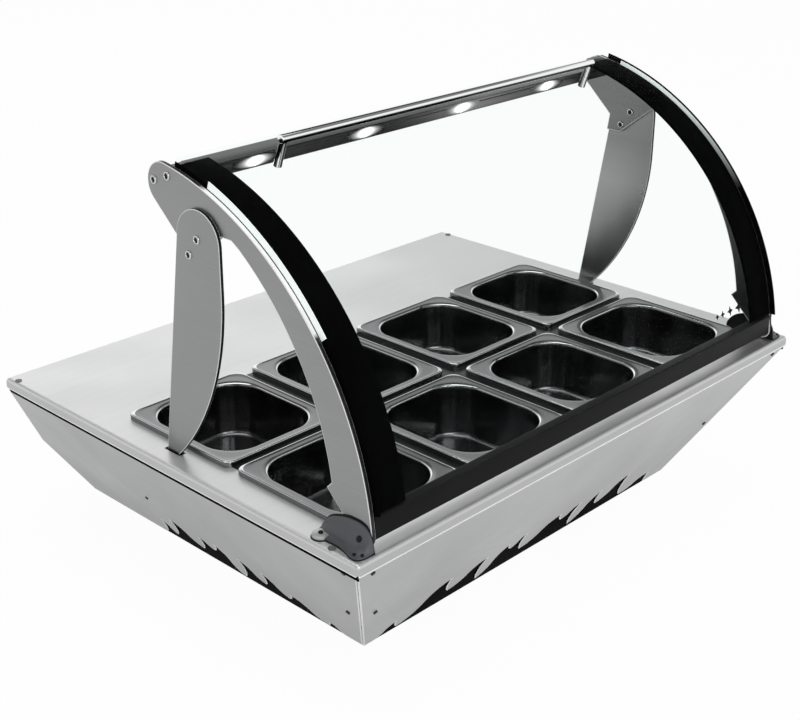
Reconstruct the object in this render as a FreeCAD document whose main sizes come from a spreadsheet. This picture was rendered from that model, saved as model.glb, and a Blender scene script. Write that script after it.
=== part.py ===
"""Countertop topping display case: a tapered steel base with a chilled well for eight
gastronorm pans, and a curved glass canopy that tips forward on two front hinges.

Frame: +Z up, -Y is the customer side, X runs along the front. The origin lies on the
supporting surface under the centre of the case. All sizes are in millimetres.
"""
import FreeCAD
import Part
import Sketcher
import math
import os
import re

# Driving dimensions
SIZES = {
    # Worktop and outer shell
    "worktop_width": 780,
    "worktop_depth": 605,
    "worktop_skirt": 11,
    "worktop_edge_radius": 5,
    "sheet_thickness": 1.5,
    "base_height": 197,
    "shadow_gap": 2,
    "panel_setback": 1.5,
    "side_inset": 111,
    "front_inset": 105,
    "rear_bulge": 43,
    "rear_kink_drop": 123,
    "rear_bottom_setback": 5,
    "fit_gap": 0.3,
    # Running wave cut along the lower edges of the panels
    "front_wave_start": 11,
    "front_wave_end": 41,
    "front_wave_run": "=worktop_width - 2*side_inset - front_wave_start - front_wave_end",
    "side_wave_start": 25,
    "side_wave_end": 152,
    "side_wave_run": "=worktop_depth - rear_bottom_setback - front_inset - side_wave_start - side_wave_end",
    "wave_height": 60,
    "front_foot": ("=tray_show*sqrt(1 + ((front_inset - panel_setback)"
                   "/(base_height - worktop_skirt - shadow_gap))^2)"),
    "side_foot": ("=tray_show*sqrt(1 + ((side_inset - panel_setback)"
                  "/(base_height - worktop_skirt - shadow_gap))^2)"),
    # Feet, tray and inner frame
    "foot_height": 8,
    "foot_radius": 16,
    "foot_inset": 45,
    "tray_lip_drop": 138,
    "tray_show": 3,
    "frame_inset": 19,
    "frame_height": 22,
    "frame_thickness": 2,
    "deck_margin": 6,
    "support_width": 40,
    "support_spacing": 320,
    "support_front": 130,
    # Gastronorm pans and the bars between them
    "well_side_margin": 39,
    "pan_width": "=(worktop_width - 2*well_side_margin - 3*pan_side_gap)/4",
    "pan_length": 176,
    "pan_depth": 65,
    "pan_sheet": 0.8,
    "pan_side_gap": 18,
    "pan_row_gap": 12,
    "pan_front_margin": 47,
    "pan_rim_height": 6,
    "pan_rim_corner": 9,
    "pan_rim_width": 12,
    "pan_mouth_corner": 42,
    "pan_draft": 7,
    "pan_seat_gap": 0.2,
    "rim_overlap": 6.5,
    "bar_height": 12,
    "bar_flange": 4.5,
    # Chilled well
    "tub_gap": 1,
    "tub_wall": 1.2,
    "tub_depth": 72,
    "tub_taper": 9,
    "tub_flange": 12,
    "lug_width": 16,
    "lug_reach": 8,
    "lug_thickness": 2,
    "insulation_top_drop": 26,
    "insulation_thickness": 40,
    "insulation_gap": 2.5,
    "insulation_rear": 426,
    "coil_radius": 4,
    "coil_pitch": 44,
    "coil_side_margin": 120,
    "coil_run": "=worktop_width - 2*coil_side_margin",
    "coil_front": 105,
    "coil_tail": 20,
    # Canopy arms, measured from the worktop's front edge and top
    "canopy_center_depth": 350,
    "canopy_center_height": -17,
    "canopy_radius": 342,
    "arm_side_inset": 28.5,
    "arm_thickness": 5,
    "arm_foot_radius": 11,
    "arm_head_radius": 23,
    "arm_head_angle": 8.4,
    "arm_head_wrap": 45,
    "arm_kink_depth": 280,
    "arm_kink_height": 247,
    "arm_tail_rear": 283,
    "arm_tail_front": 262,
    "arm_tail_height": 226,
    "arm_window_rear": 214,
    "arm_window_front": 199,
    "arm_window_height": 264.5,
    "arm_window_corner": 258,
    "arm_inner_radius": 312.5,
    "arm_inner_shift": 23,
    "arm_heel_top": 54,
    "arm_heel_depth": 71,
    "arm_heel_height": 47,
    "hinge_height": 13,
    "hinge_pin_radius": 3,
    "hinge_bush_radius": 5,
    "hinge_running_gap": 0.05,
    # Canopy posts
    "post_thickness": 4,
    "post_head_depth": 246,
    "post_head_height": 253,
    "post_head_radius": 33,
    "post_waist_height": 205,
    "post_foot_depth": 298,
    "post_foot_width": 20,
    "post_foot_reach": 8,
    "slot_clearance": 0.6,
    "slot_end_clearance": 1.6,
    "socket_wall": 1.4,
    "post_bolt_upper_depth": 247,
    "post_bolt_upper_height": 255,
    "post_bolt_lower_depth": 261,
    "post_bolt_lower_height": 236,
    "bolt_radius": 3,
    "bolt_head_radius": 4.6,
    "bolt_head_height": 1.6,
    "bolt_clearance": 0.1,
    # Glass, bands, rails, lamps and handle
    "glass_thickness": 8,
    "glass_low_angle": 9,
    "glass_high_angle": 79.5,
    "band_width": 43,
    "band_thickness": 3.5,
    "front_rail_depth": 12,
    "front_rail_height": 25,
    "front_rail_front": 10.5,
    "front_rail_bottom": 10,
    "rail_front_reach": 24.4,
    "rail_depth": 28,
    "rail_lean": 7,
    "rail_floor_run": 14,
    "rail_nose_drop": 15.7,
    "rail_keel_drop": 17.2,
    "rail_rear_drop": 10.7,
    "top_rail_front": "=canopy_center_depth - (canopy_radius - arm_head_radius)*sin(arm_head_angle)"
                      " - rail_front_reach",
    "top_rail_front_height": "=canopy_center_height - fit_gap + sqrt((canopy_radius - band_thickness)^2"
                             " - (canopy_center_depth - top_rail_front)^2)",
    "top_rail_nose": "=top_rail_front + rail_lean",
    "top_rail_nose_height": "=top_rail_front_height - rail_nose_drop",
    "top_rail_keel": "=top_rail_nose + rail_floor_run",
    "top_rail_keel_height": "=top_rail_front_height - rail_keel_drop",
    "top_rail_rear": "=top_rail_front + rail_depth",
    "top_rail_rear_height": "=top_rail_front_height - rail_rear_drop",
    "top_rail_height": "=canopy_center_height - fit_gap + sqrt((canopy_radius - band_thickness)^2"
                       " - (canopy_center_depth - top_rail_nose)^2)",
    "rail_bolt_setback": 8,
    "rail_bolt_fall": 6,
    "rail_bolt_overhang": 9,
    "rail_bolt_rise": 2,
    "rail_bolt_front_depth": "=top_rail_nose + rail_bolt_setback",
    "rail_bolt_front_height": "=top_rail_height - rail_bolt_fall",
    "rail_bolt_rear_depth": "=top_rail_rear + rail_bolt_overhang",
    "rail_bolt_rear_height": "=top_rail_rear_height - rail_bolt_rise",
    "rail_bolt_reach": 12,
    "lamp_pitch": 160,
    "lamp_offset": -17,
    "lamp_radius": 6.5,
    "lamp_depth": 4,
    "handle_spacing": 498,
    "handle_offset": -22,
    "handle_angle": 19.6,
    "handle_reach": 32,
    "handle_bar_radius": 4.5,
    "handle_post_radius": 4.5,
    # Hinge brackets, measured from the worktop's side and front edges
    "bracket_front": 6,
    "bracket_rear": 70,
    "bracket_outer": 6,
    "bracket_waist": 13,
    "bracket_height": 27,
    "bracket_top_front": 13,
    "bracket_top_rear": 52,
    "bracket_top_width": 7,
    "bracket_ear_depth": 66,
    "bracket_ear_side": 15,
    "bracket_ear_radius": 9,
    "bracket_ear_thickness": 4,
    "bracket_screw_radius": 2,
    "bracket_screw_head": 3.6,
    "bracket_screw_height": 1.8,
    "bracket_screw_length": 9,
    "pin_recess": 2,
    "plug_radius": 4,
    "plug_height": 0.8,
    "plug_side": 7,
    "plug_front": 42,
    "plug_rear": 20,
    # Shell screws
    "shell_screw_radius": 1.6,
    "shell_screw_head": 2.6,
    "shell_screw_height": 1,
    "shell_screw_margin": 20,
    "shell_screw_top_drop": 20,
    "shell_screw_low_drop": 118,
    # Cooling unit in the rear of the base
    "compressor_side": -140,
    "compressor_depth": 508,
    "compressor_radius": 56,
    "compressor_height": 118,
    "compressor_plate": 3,
    "compressor_plate_width": 150,
    "compressor_plate_length": 118,
    "mount_height": 14,
    "mount_radius": 10,
    "mount_margin": 14,
    "condenser_side_margin": 34,
    "condenser_side": "=worktop_width/2 - side_inset - condenser_side_margin - condenser_width/2",
    "condenser_width": 190,
    "condenser_height": 116,
    "condenser_thickness": 40,
    "condenser_rear": 590,
    "condenser_lift": 6,
    "fin_thickness": 1,
    "fin_pitch": 9,
    "condenser_tube_radius": 4,
    "condenser_tube_pitch": 27,
    "shroud_thickness": 12,
    "fan_radius": 50,
    "fan_tip_gap": 2,
    "fan_hub_radius": 17,
    "fan_hub_length": 14,
    "fan_blade_width": 10,
    "fan_blade_thickness": 1.6,
    "fan_blade_pitch": 32,
    "motor_radius": 18,
    "motor_length": 34,
    "motor_gap": 2,
    "motor_shaft_radius": 2.5,
    "motor_arm": 6,
    "pipe_radius": 4,
    "pipe_high_drop": 48,
    # Controls on the rear cover
    "control_drop": 62,
    "thermostat_side": -232,
    "thermostat_radius": 17,
    "thermostat_depth": 26,
    "knob_radius": 15,
    "knob_height": 14,
    "knob_gap": 0.6,
    "knob_shaft_radius": 3,
    "knob_pointer": 3,
    "switch_side": -165,
    "switch_width": 24,
    "switch_length": 32,
    "switch_depth": 22,
    "switch_bezel": 2,
    "switch_flange": 3,
    "rocker_radius": 11,
    "rocker_width": 16,
    "rocker_gap": 0.5,
    "rocker_tilt": 7,
    "inlet_side": -85,
    "inlet_width": 30,
    "inlet_height": 24,
    "inlet_depth": 26,
    "inlet_flange": 6,
    "inlet_bezel": 3,
    "inlet_wall": 3,
    "inlet_pin_width": 4,
    "inlet_pin_thickness": 2,
    "inlet_pin_length": 14,
    "inlet_pin_pitch": 7,
    "driver_width": 120,
    "driver_length": 42,
    "driver_height": 26,
    "driver_rear": 500,
    "louvre_height": 5,
    "louvre_pitch": 11,
}
# Waves as shares of the run and height: crest, its rise, the trough after it and its rise
FRONT_WAVES = ((0.053, 0.33, 0.069, 0.08), (0.196, 0.93, 0.213, 0.40), (0.316, 0.93, 0.326, 0.12),
               (0.393, 0.93, 0.411, 0.70), (0.451, 1.00, 0.466, 0.37), (0.581, 0.95, 0.599, 0.68),
               (0.656, 0.98, 0.666, 0.15), (0.741, 0.97, 0.755, 0.43), (0.854, 1.00, 0.879, 0.13),
               (0.990, 0.37, 1.000, 0.00))
SIDE_WAVES = ((0.060, 0.25, 0.085, 0.05), (0.230, 0.52, 0.261, 0.28), (0.355, 0.83, 0.381, 0.32),
              (0.475, 0.88, 0.525, 0.05), (0.601, 0.93, 0.632, 0.63), (0.701, 0.85, 0.733, 0.32),
              (0.865, 0.93, 0.903, 0.23), (0.956, 0.58, 1.000, 0.00))
# Radii of the waves' arcs as shares of their chords
FLANK_BEND = 0.98
LEE_BEND = 1.1
PANS_PER_ROW = 4
ROWS = 2
COIL_RUNS = 6
CONDENSER_TUBES = 4
FAN_BLADES = 5
LAMPS = 4
LOUVRES = 9

doc = FreeCAD.newDocument("topping_display_case")
sheet = doc.addObject("Spreadsheet::Sheet", "dims")
for row, (alias, number) in enumerate(SIZES.items(), start=1):
    sheet.set(f"A{row}", alias)
    sheet.set(f"B{row}", str(number))
    sheet.setAlias(f"B{row}", alias)
doc.recompute()
nodes = {}


# Expressions
def ex(text):
    """Turn the size names in a formula into references to the sheet."""
    return re.sub(r"[a-z][a-z_]+", lambda m: f"dims.{m[0]}" if m[0] in SIZES else m[0], str(text))


def val(text):
    """Current number of a formula."""
    result = sheet.evalExpression(ex(text))
    return float(getattr(result, "Value", result))


HALF = "(worktop_width/2)"
FRONT = "(-(worktop_depth + rear_bulge)/2)"
BACK = f"({FRONT} + worktop_depth)"
TOP = "(foot_height + base_height)"
PANEL_DROP = "(base_height - worktop_skirt - shadow_gap)"
PANEL_FOOT = "(base_height - tray_show)"
SIDE_RUN = "(side_inset - panel_setback)"
FRONT_RUN = "(front_inset - panel_setback)"
SIDE_ANGLE = f"atan({SIDE_RUN}/{PANEL_DROP})"
FRONT_ANGLE = f"atan({FRONT_RUN}/{PANEL_DROP})"
SIDE_SLOPE = f"sqrt({SIDE_RUN}^2 + {PANEL_DROP}^2)"
FRONT_SLOPE = f"sqrt({FRONT_RUN}^2 + {PANEL_DROP}^2)"
REAR_SKIN = "(1.2*sheet_thickness)"
PITCH_X = "(pan_width + pan_side_gap)"
PITCH_Y = "(pan_length + pan_row_gap)"
PANS_HALF = f"({PANS_PER_ROW}*pan_width + {PANS_PER_ROW - 1}*pan_side_gap)/2"
OPENING_HALF = f"({PANS_HALF} - rim_overlap)"
OPENING_FRONT = f"({FRONT} + pan_front_margin + rim_overlap)"
OPENING_REAR = f"({FRONT} + pan_front_margin + {ROWS}*pan_length + pan_row_gap - rim_overlap)"
ROW_LINE = f"({FRONT} + pan_front_margin + pan_length + pan_row_gap/2)"
TUB_FLOOR_DROP = "(tub_depth + tub_wall)"
INSULATION_DROP = f"({TUB_FLOOR_DROP} + insulation_thickness)"
TRAY_FLOOR = "(foot_height + sheet_thickness)"
ARM_IN = "(arm_side_inset + arm_thickness)"
HINGE_DEPTH = ("(canopy_center_depth - sqrt((canopy_radius - arm_foot_radius)^2"
               " - (hinge_height - canopy_center_height)^2))")
GLASS_INNER = "(canopy_radius + 2*fit_gap)"
GLASS_OUTER = f"({GLASS_INNER} + glass_thickness)"
HOLE = "(bolt_radius + bolt_clearance)"


def side_face(drop, depth="0"):
    """Inset from the worktop's side edge to a plane behind a side panel's outer face."""
    fall = f"(({drop}) - worktop_skirt - shadow_gap)"
    return f"(panel_setback + {fall}*{SIDE_RUN}/{PANEL_DROP} + ({depth})/cos({SIDE_ANGLE}))"


def front_face(drop, depth="0"):
    """Inset from the worktop's front edge to a plane behind the front panel's outer face."""
    fall = f"(({drop}) - worktop_skirt - shadow_gap)"
    return f"(panel_setback + {fall}*{FRONT_RUN}/{PANEL_DROP} + ({depth})/cos({FRONT_ANGLE}))"


def rear_low_face(drop):
    """Depth of the rear cover's lower facet below its fold."""
    fall = f"(({drop}) - rear_kink_drop)/(base_height - rear_kink_drop)"
    return f"(worktop_depth + rear_bulge - {fall}*(rear_bulge + rear_bottom_setback))"


def canopy_point(radius, degrees):
    """Depth and height of a point on a canopy arc, the angle counted up from the front."""
    return (f"(canopy_center_depth - ({radius})*cos({degrees}))",
            f"(canopy_center_height + ({radius})*sin({degrees}))")


# Document helpers
def bind(item, **formulas):
    """Tie properties of an object to formulas."""
    for path, formula in formulas.items():
        item.setExpression(path, ex(formula))
    return item


def place(item, x="0", y="0", z="0", axis=None, angle=None):
    """Put an object at a point, turned about an axis."""
    if axis is not None:
        item.Placement = FreeCAD.Placement(FreeCAD.Vector(), FreeCAD.Rotation(FreeCAD.Vector(*axis), 45))
        item.setExpression("Placement.Rotation.Angle", ex(angle))
    for letter, formula in zip("xyz", (x, y, z)):
        item.setExpression(f"Placement.Base.{letter}", ex(formula))
    return item


def node(name, item):
    """Register a finished piece under its own name."""
    item.Label = name
    nodes[name] = item
    return item


def block(x0, x1, y0, y1, z0, z1):
    """Box between six limits."""
    item = doc.addObject("Part::Box", "block")
    bind(item, Length=f"({x1}) - ({x0})", Width=f"({y1}) - ({y0})", Height=f"({z1}) - ({z0})")
    return place(item, x0, y0, z0)


def rod(radius, length, x, y, z, axis="z"):
    """Cylinder that starts at a point and runs along +X, +Y or +Z."""
    item = bind(doc.addObject("Part::Cylinder", "rod"), Radius=radius, Height=length)
    if axis == "x":
        return place(item, x, y, z, (0, 1, 0), "90")
    if axis == "y":
        return place(item, x, y, z, (1, 0, 0), "-90")
    return place(item, x, y, z)


def ball(radius, x, y, z):
    """Sphere at a point."""
    return place(bind(doc.addObject("Part::Sphere", "ball"), Radius=radius), x, y, z)


def taper_block(z0, z1, low, high):
    """Block with four sloping sides; low and high are its x0, x1, y0, y1 at each end."""
    item = doc.addObject("Part::Wedge", "taper_block")
    bind(item, Ymin=z0, Ymax=z1, Xmin=low[0], Xmax=low[1], Zmin=f"-({low[3]})", Zmax=f"-({low[2]})",
         X2min=high[0], X2max=high[1], Z2min=f"-({high[3]})", Z2max=f"-({high[2]})")
    return place(item, axis=(1, 0, 0), angle="90")


def fuse(*items):
    """Union of several solids."""
    item = doc.addObject("Part::MultiFuse", "fuse")
    item.Shapes = list(items)
    item.Refine = True
    return item


def cut(base, *tools):
    """A solid less one or more others."""
    item = doc.addObject("Part::Cut", "cut")
    item.Base = base
    item.Tool = tools[0] if len(tools) == 1 else fuse(*tools)
    return item


def common(first, second):
    """The space shared by two solids."""
    item = doc.addObject("Part::Common", "common")
    item.Base = first
    item.Tool = second
    return item


def group(items):
    """Separate solids kept together as one piece."""
    item = doc.addObject("Part::Compound", "group")
    item.Links = list(items)
    return item


def mirrored(item):
    """The same piece on the other side of the case."""
    copy = doc.addObject("Part::Mirroring", "mirrored")
    copy.Source = item
    copy.Normal = FreeCAD.Vector(1, 0, 0)
    return copy


# Sketch helpers
def new_sketch(body, plane, offset=None):
    """Empty sketch on one of a body's own origin planes."""
    sketch = body.newObject("Sketcher::SketchObject", "sketch")
    support = next(f for f in body.Origin.OriginFeatures if f.Role == plane)
    sketch.AttachmentSupport = [(support, "")]
    sketch.MapMode = "FlatFace"
    if offset is not None:
        sketch.setExpression("AttachmentOffset.Base.z", ex(offset))
    return sketch


def fix_point(sketch, geometry, end, point):
    """Hold one end of a curve at a pair of formulas."""
    for kind, formula in zip(("DistanceX", "DistanceY"), point):
        index = sketch.addConstraint(Sketcher.Constraint(kind, -1, 1, geometry, end, val(formula)))
        sketch.setExpression(f"Constraints[{index}]", ex(formula))


def arc_between(start, end, radius, turn):
    """Minor arc from start to end; turn is 1 for a left bend and -1 for a right one."""
    run = end - start
    chord = run.Length
    rise = math.sqrt(max(radius * radius - chord * chord / 4, 0))
    normal = FreeCAD.Vector(-run.y, run.x, 0) / chord
    center = (start + end) / 2 + normal * (turn * rise)
    first, last = (start, end) if turn > 0 else (end, start)
    angles = [math.atan2(p.y - center.y, p.x - center.x) for p in (first, last)]
    if angles[1] < angles[0]:
        angles[1] += 2 * math.pi
    return Part.ArcOfCircle(Part.Circle(center, FreeCAD.Vector(0, 0, 1), radius), *angles)


def outline(sketch, points, arcs=None, holes=()):
    """Closed outline through points, with arcs on some of its sides, and round holes."""
    arcs = arcs or {}
    spots = [FreeCAD.Vector(val(u), val(v), 0) for u, v in points]
    count = len(points)
    ends = []
    for i in range(count):
        start, end = spots[i], spots[(i + 1) % count]
        if i in arcs:
            radius, turn = arcs[i]
            sketch.addGeometry(arc_between(start, end, val(radius), turn))
            ends.append((1, 2) if turn > 0 else (2, 1))
        else:
            sketch.addGeometry(Part.LineSegment(start, end))
            ends.append((1, 2))
    for i in range(count):
        before = (i - 1) % count
        sketch.addConstraint(Sketcher.Constraint("Coincident", before, ends[before][1], i, ends[i][0]))
        fix_point(sketch, i, ends[i][0], points[i])
    for i, (radius, turn) in arcs.items():
        index = sketch.addConstraint(Sketcher.Constraint("Radius", i, val(radius)))
        sketch.setExpression(f"Constraints[{index}]", ex(radius))
    for u, v, radius in holes:
        spot = FreeCAD.Vector(val(u), val(v), 0)
        circle = sketch.addGeometry(Part.Circle(spot, FreeCAD.Vector(0, 0, 1), val(radius)))
        fix_point(sketch, circle, 3, (u, v))
        index = sketch.addConstraint(Sketcher.Constraint("Radius", circle, val(radius)))
        sketch.setExpression(f"Constraints[{index}]", ex(radius))
    return sketch


def rounded(width, length, corner):
    """Points and arcs of a rectangle with round corners, centred on the origin."""
    a, b, r = f"({width})/2", f"({length})/2", f"({corner})"
    points = [(f"-{a} + {r}", f"-{b}"), (f"{a} - {r}", f"-{b}"), (a, f"-{b} + {r}"), (a, f"{b} - {r}"),
              (f"{a} - {r}", b), (f"-{a} + {r}", b), (f"-{a}", f"{b} - {r}"), (f"-{a}", f"-{b} + {r}")]
    return points, {i: (r, 1) for i in (1, 3, 5, 7)}


def new_body():
    """Empty body for a piece made from sketches."""
    return doc.addObject("PartDesign::Body", "body")


def pad(body, sketch, length, reverse=False, symmetric=False):
    """Thicken a sketch into a solid."""
    feature = body.newObject("PartDesign::Pad", "pad")
    feature.Profile = sketch
    feature.Reversed = reverse
    feature.Midplane = symmetric
    bind(feature, Length=length)
    sketch.Visibility = False
    return feature


def plate(plane, points, length, arcs=None, holes=(), reverse=False, symmetric=False):
    """Flat or prismatic piece: one outline thickened along its plane's normal."""
    body = new_body()
    pad(body, outline(new_sketch(body, plane), points, arcs, holes), length, reverse, symmetric)
    return body


# Outer shell
def wave_edge(start, run, foot, waves):
    """Points and arcs of a row of breaking waves cut upwards from a panel's foot.

    A flank is an S of two equal arcs that meet halfway up, and the lee is one hollow arc.
    """
    def spot(along, up):
        return f"({start} + {along}*{run})", f"({foot} + {up}*(wave_height - {foot}))"

    points, arcs = [(start, foot)], {}
    for crest, rise, trough, rest in waves:
        tip, low = spot(crest, rise), spot(trough, rest)
        half = tuple(f"(({a} + {b})/2)" for a, b in zip(points[-1], tip))
        for end, bend, turn in ((half, FLANK_BEND, 1), (tip, FLANK_BEND, -1), (low, LEE_BEND, 1)):
            last = points[-1]
            chord = f"sqrt(({end[0]} - {last[0]})^2 + ({end[1]} - {last[1]})^2)"
            arcs[len(points) - 1] = (f"{bend}*{chord}", turn)
            points.append(end)
    return points, arcs


def front_panel():
    """Leaning front sheet with a running wave along its lower edge."""
    low, high = f"({HALF} - {side_face(PANEL_FOOT)})", f"({HALF} - panel_setback)"
    waves, arcs = wave_edge(f"(side_inset + front_wave_start - {HALF})", "front_wave_run", "front_foot",
                            FRONT_WAVES)
    points = [(f"-{low}", "front_foot")] + waves
    points += [(low, "front_foot"), (high, FRONT_SLOPE), (f"-{high}", FRONT_SLOPE)]
    arcs = {i + 1: arc for i, arc in arcs.items()}
    holes = []
    for drop in ("shell_screw_top_drop", "shell_screw_low_drop"):
        rise = f"((base_height - {drop})*{FRONT_SLOPE}/{PANEL_DROP})"
        reach = f"({HALF} - {side_face(drop)} - shell_screw_margin)"
        holes += [(f"{sign}{reach}", rise, "shell_screw_radius + bolt_clearance") for sign in ("-", "")]
    body = plate("XZ_Plane", points, "sheet_thickness", arcs, holes, reverse=True)
    node("front_panel", place(body, "0", f"{FRONT} + front_inset", "foot_height", (1, 0, 0), FRONT_ANGLE))


def side_panel(name, sign):
    """Leaning side sheet whose rear edge follows the fold of the rear cover."""
    corner = f"((sheet_thickness + fit_gap)/cos({FRONT_ANGLE}))"
    scale = f"({SIDE_SLOPE}/{PANEL_DROP})"
    waves, arcs = wave_edge("(front_inset + side_wave_start)", "side_wave_run", "side_foot", SIDE_WAVES)
    points = [(f"{front_face(PANEL_FOOT)} + {corner}", "side_foot")] + waves
    points += [(rear_low_face(PANEL_FOOT), "side_foot"),
               ("worktop_depth + rear_bulge", f"(base_height - rear_kink_drop)*{scale}"),
               ("worktop_depth - panel_setback", SIDE_SLOPE),
               (f"panel_setback + {corner}", SIDE_SLOPE)]
    arcs = {i + 1: arc for i, arc in arcs.items()}
    holes = []
    for drop in ("shell_screw_top_drop", "shell_screw_low_drop"):
        rise = f"((base_height - {drop})*{scale})"
        depth = f"({front_face(drop)} + shell_screw_margin)"
        holes.append((depth, rise, "shell_screw_radius + bolt_clearance"))
    body = plate("YZ_Plane", points, "sheet_thickness", arcs, holes, reverse=sign > 0)
    node(name, place(body, f"{sign}*({HALF} - side_inset)", FRONT, "foot_height", (0, 1, 0),
                     f"{sign}*{SIDE_ANGLE}"))


def shell_screws():
    """Small pan-head screws near the front corners of the shell."""
    screws = []
    for drop in ("shell_screw_top_drop", "shell_screw_low_drop"):
        height = f"({TOP} - {drop})"
        reach = f"({HALF} - {side_face(drop)} - shell_screw_margin)"
        for sign in (-1, 1):
            screw = fuse(rod("shell_screw_head", "shell_screw_height", "0", "0", "0"),
                         rod("shell_screw_radius", "sheet_thickness", "0", "0", "-sheet_thickness"))
            place(screw, f"{sign}*{reach}", f"{FRONT} + {front_face(drop)}", height, (1, 0, 0),
                  f"90 deg + {FRONT_ANGLE}")
            screws.append(screw)
            screw = fuse(rod("shell_screw_head", "shell_screw_height", "0", "0", "0"),
                         rod("shell_screw_radius", "sheet_thickness", "0", "0", "-sheet_thickness"))
            place(screw, f"{sign}*({HALF} - {side_face(drop)})",
                  f"{FRONT} + {front_face(drop)} + shell_screw_margin", height, (0, 1, 0),
                  f"{sign}*(90 deg + {SIDE_ANGLE})")
            screws.append(screw)
    node("shell_screws", group(screws))


REAR_ANGLE = "atan((rear_bulge + panel_setback)/(rear_kink_drop - worktop_skirt - shadow_gap))"


def on_rear(item, side, lift="0", drop="control_drop"):
    """Set a piece on the rear cover's upper facet, its own +Z along the outward normal."""
    depth = (f"(worktop_depth - panel_setback + ({drop} - worktop_skirt - shadow_gap)*tan({REAR_ANGLE})"
             f" + ({lift})*cos({REAR_ANGLE}))")
    return place(item, side, f"{FRONT} + {depth}", f"{TOP} - {drop} + ({lift})*sin({REAR_ANGLE})",
                 (1, 0, 0), f"{REAR_ANGLE} - 90 deg")


def centered(width, length, z0, z1):
    """Box centred on its own Z axis."""
    return block(f"-({width})/2", f"({width})/2", f"-({length})/2", f"({length})/2", z0, z1)


def rear_cover():
    """Folded rear sheet between the side panels, with vents and openings for the controls."""
    fold = [("worktop_depth - panel_setback", "-worktop_skirt - shadow_gap"),
            ("worktop_depth + rear_bulge", "-rear_kink_drop"),
            ("worktop_depth - rear_bottom_setback", "-base_height")]
    inner = [(f"{u} - {REAR_SKIN}", v) for u, v in reversed(fold)]
    strip = plate("YZ_Plane", fold + inner, "worktop_width", symmetric=True)
    place(strip, "0", FRONT, TOP)
    deep = "sheet_thickness + fit_gap"
    edge = [f"{HALF} - {side_face(drop, deep)}" for drop in ("base_height", "worktop_skirt")]
    span = taper_block("foot_height", f"{TOP} - worktop_skirt",
                       (f"-({edge[0]})", edge[0], FRONT, f"{BACK} + 2*rear_bulge"),
                       (f"-({edge[1]})", edge[1], FRONT, f"{BACK} + 2*rear_bulge"))
    vents = []
    for i in range(LOUVRES):
        height = f"({TRAY_FLOOR} + condenser_lift + condenser_height - {i}*louvre_pitch)"
        half = "(condenser_width/2 - shroud_thickness)"
        vents.append(block(f"condenser_side - {half}", f"condenser_side + {half}",
                           f"{FRONT} + condenser_rear", f"{BACK} + 2*rear_bulge",
                           f"{height} - louvre_height", height))
    reach = ("-2*sheet_thickness", "2*sheet_thickness")
    holes = [on_rear(group([rod("knob_shaft_radius + 2 + bolt_clearance", "4*sheet_thickness", "0", "0",
                                "-2*sheet_thickness")]), "thermostat_side"),
             on_rear(group([centered("switch_width + fit_gap", "switch_length + fit_gap", *reach)]),
                     "switch_side"),
             on_rear(group([centered("inlet_width + fit_gap", "inlet_height + fit_gap", *reach)]),
                     "inlet_side")]
    node("rear_cover", cut(common(strip, span), *vents, *holes))


def base_tray():
    """Black chassis tray whose leaning walls show behind the waves of the panels."""
    def limits(drop, depth):
        side = f"{HALF} - {side_face(drop, depth)}"
        rear = f"{FRONT} + {rear_low_face(drop)} - {REAR_SKIN} - ({depth})"
        return f"-({side})", side, f"{FRONT} + {front_face(drop, depth)}", rear
    outer, inner = "sheet_thickness + fit_gap", "2*sheet_thickness + fit_gap"
    solid = taper_block("foot_height", f"{TOP} - tray_lip_drop",
                        limits("base_height", outer), limits("tray_lip_drop", outer))
    hollow = taper_block(TRAY_FLOOR, f"{TOP} - tray_lip_drop + sheet_thickness",
                         limits("base_height - sheet_thickness", inner),
                         limits("tray_lip_drop - sheet_thickness", inner))
    node("base_tray", cut(solid, hollow))


def feet():
    """Four rubber feet under the tray."""
    side = f"({HALF} - side_inset - foot_inset)"
    depths = (f"{FRONT} + front_inset + foot_inset", f"{BACK} - rear_bottom_setback - foot_inset")
    node("feet", group([rod("foot_radius", "foot_height", f"{sign}{side}", depth, "0")
                        for sign in ("-", "") for depth in depths]))


def softened(blank, radius):
    """A box with its upright and upper edges rounded."""
    doc.recompute()
    soft = doc.addObject("Part::Fillet", "soft")
    soft.Base = blank
    soft.Edges = [(edge, val(radius), val(radius)) for edge in (1, 2, 3, 5, 6, 7, 10, 12)]
    return soft


def worktop():
    """Folded steel top with one large opening, slots for the posts and holes for the bracket screws."""
    outside = softened(block(f"-{HALF}", HALF, FRONT, BACK, f"{TOP} - worktop_skirt", TOP),
                       "worktop_edge_radius")
    inside = softened(block(f"-{HALF} + sheet_thickness", f"{HALF} - sheet_thickness",
                            f"{FRONT} + sheet_thickness", f"{BACK} - sheet_thickness",
                            f"{TOP} - 2*worktop_skirt", f"{TOP} - sheet_thickness"),
                      "worktop_edge_radius - sheet_thickness")
    opening = block(f"-{OPENING_HALF}", OPENING_HALF, OPENING_FRONT, OPENING_REAR,
                    f"{TOP} - worktop_skirt", f"{TOP} + worktop_skirt")
    tools = [inside, opening]
    for sign in (-1, 1):
        middle = f"{sign}*({HALF} - arm_side_inset + post_thickness/2)"
        half = "(post_thickness/2 + slot_clearance)"
        tools.append(block(f"{middle} - {half}", f"{middle} + {half}",
                           f"{FRONT} + post_foot_depth - slot_end_clearance",
                           f"{FRONT} + post_foot_depth + post_foot_width + slot_end_clearance",
                           f"{TOP} - worktop_skirt", f"{TOP} + worktop_skirt"))
        tools += [rod("bracket_screw_radius + bolt_clearance", "2*worktop_skirt", x, y,
                      f"{TOP} - worktop_skirt") for x, y in bracket_screw_places(sign)]
    node("worktop", cut(outside, *tools))


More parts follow.
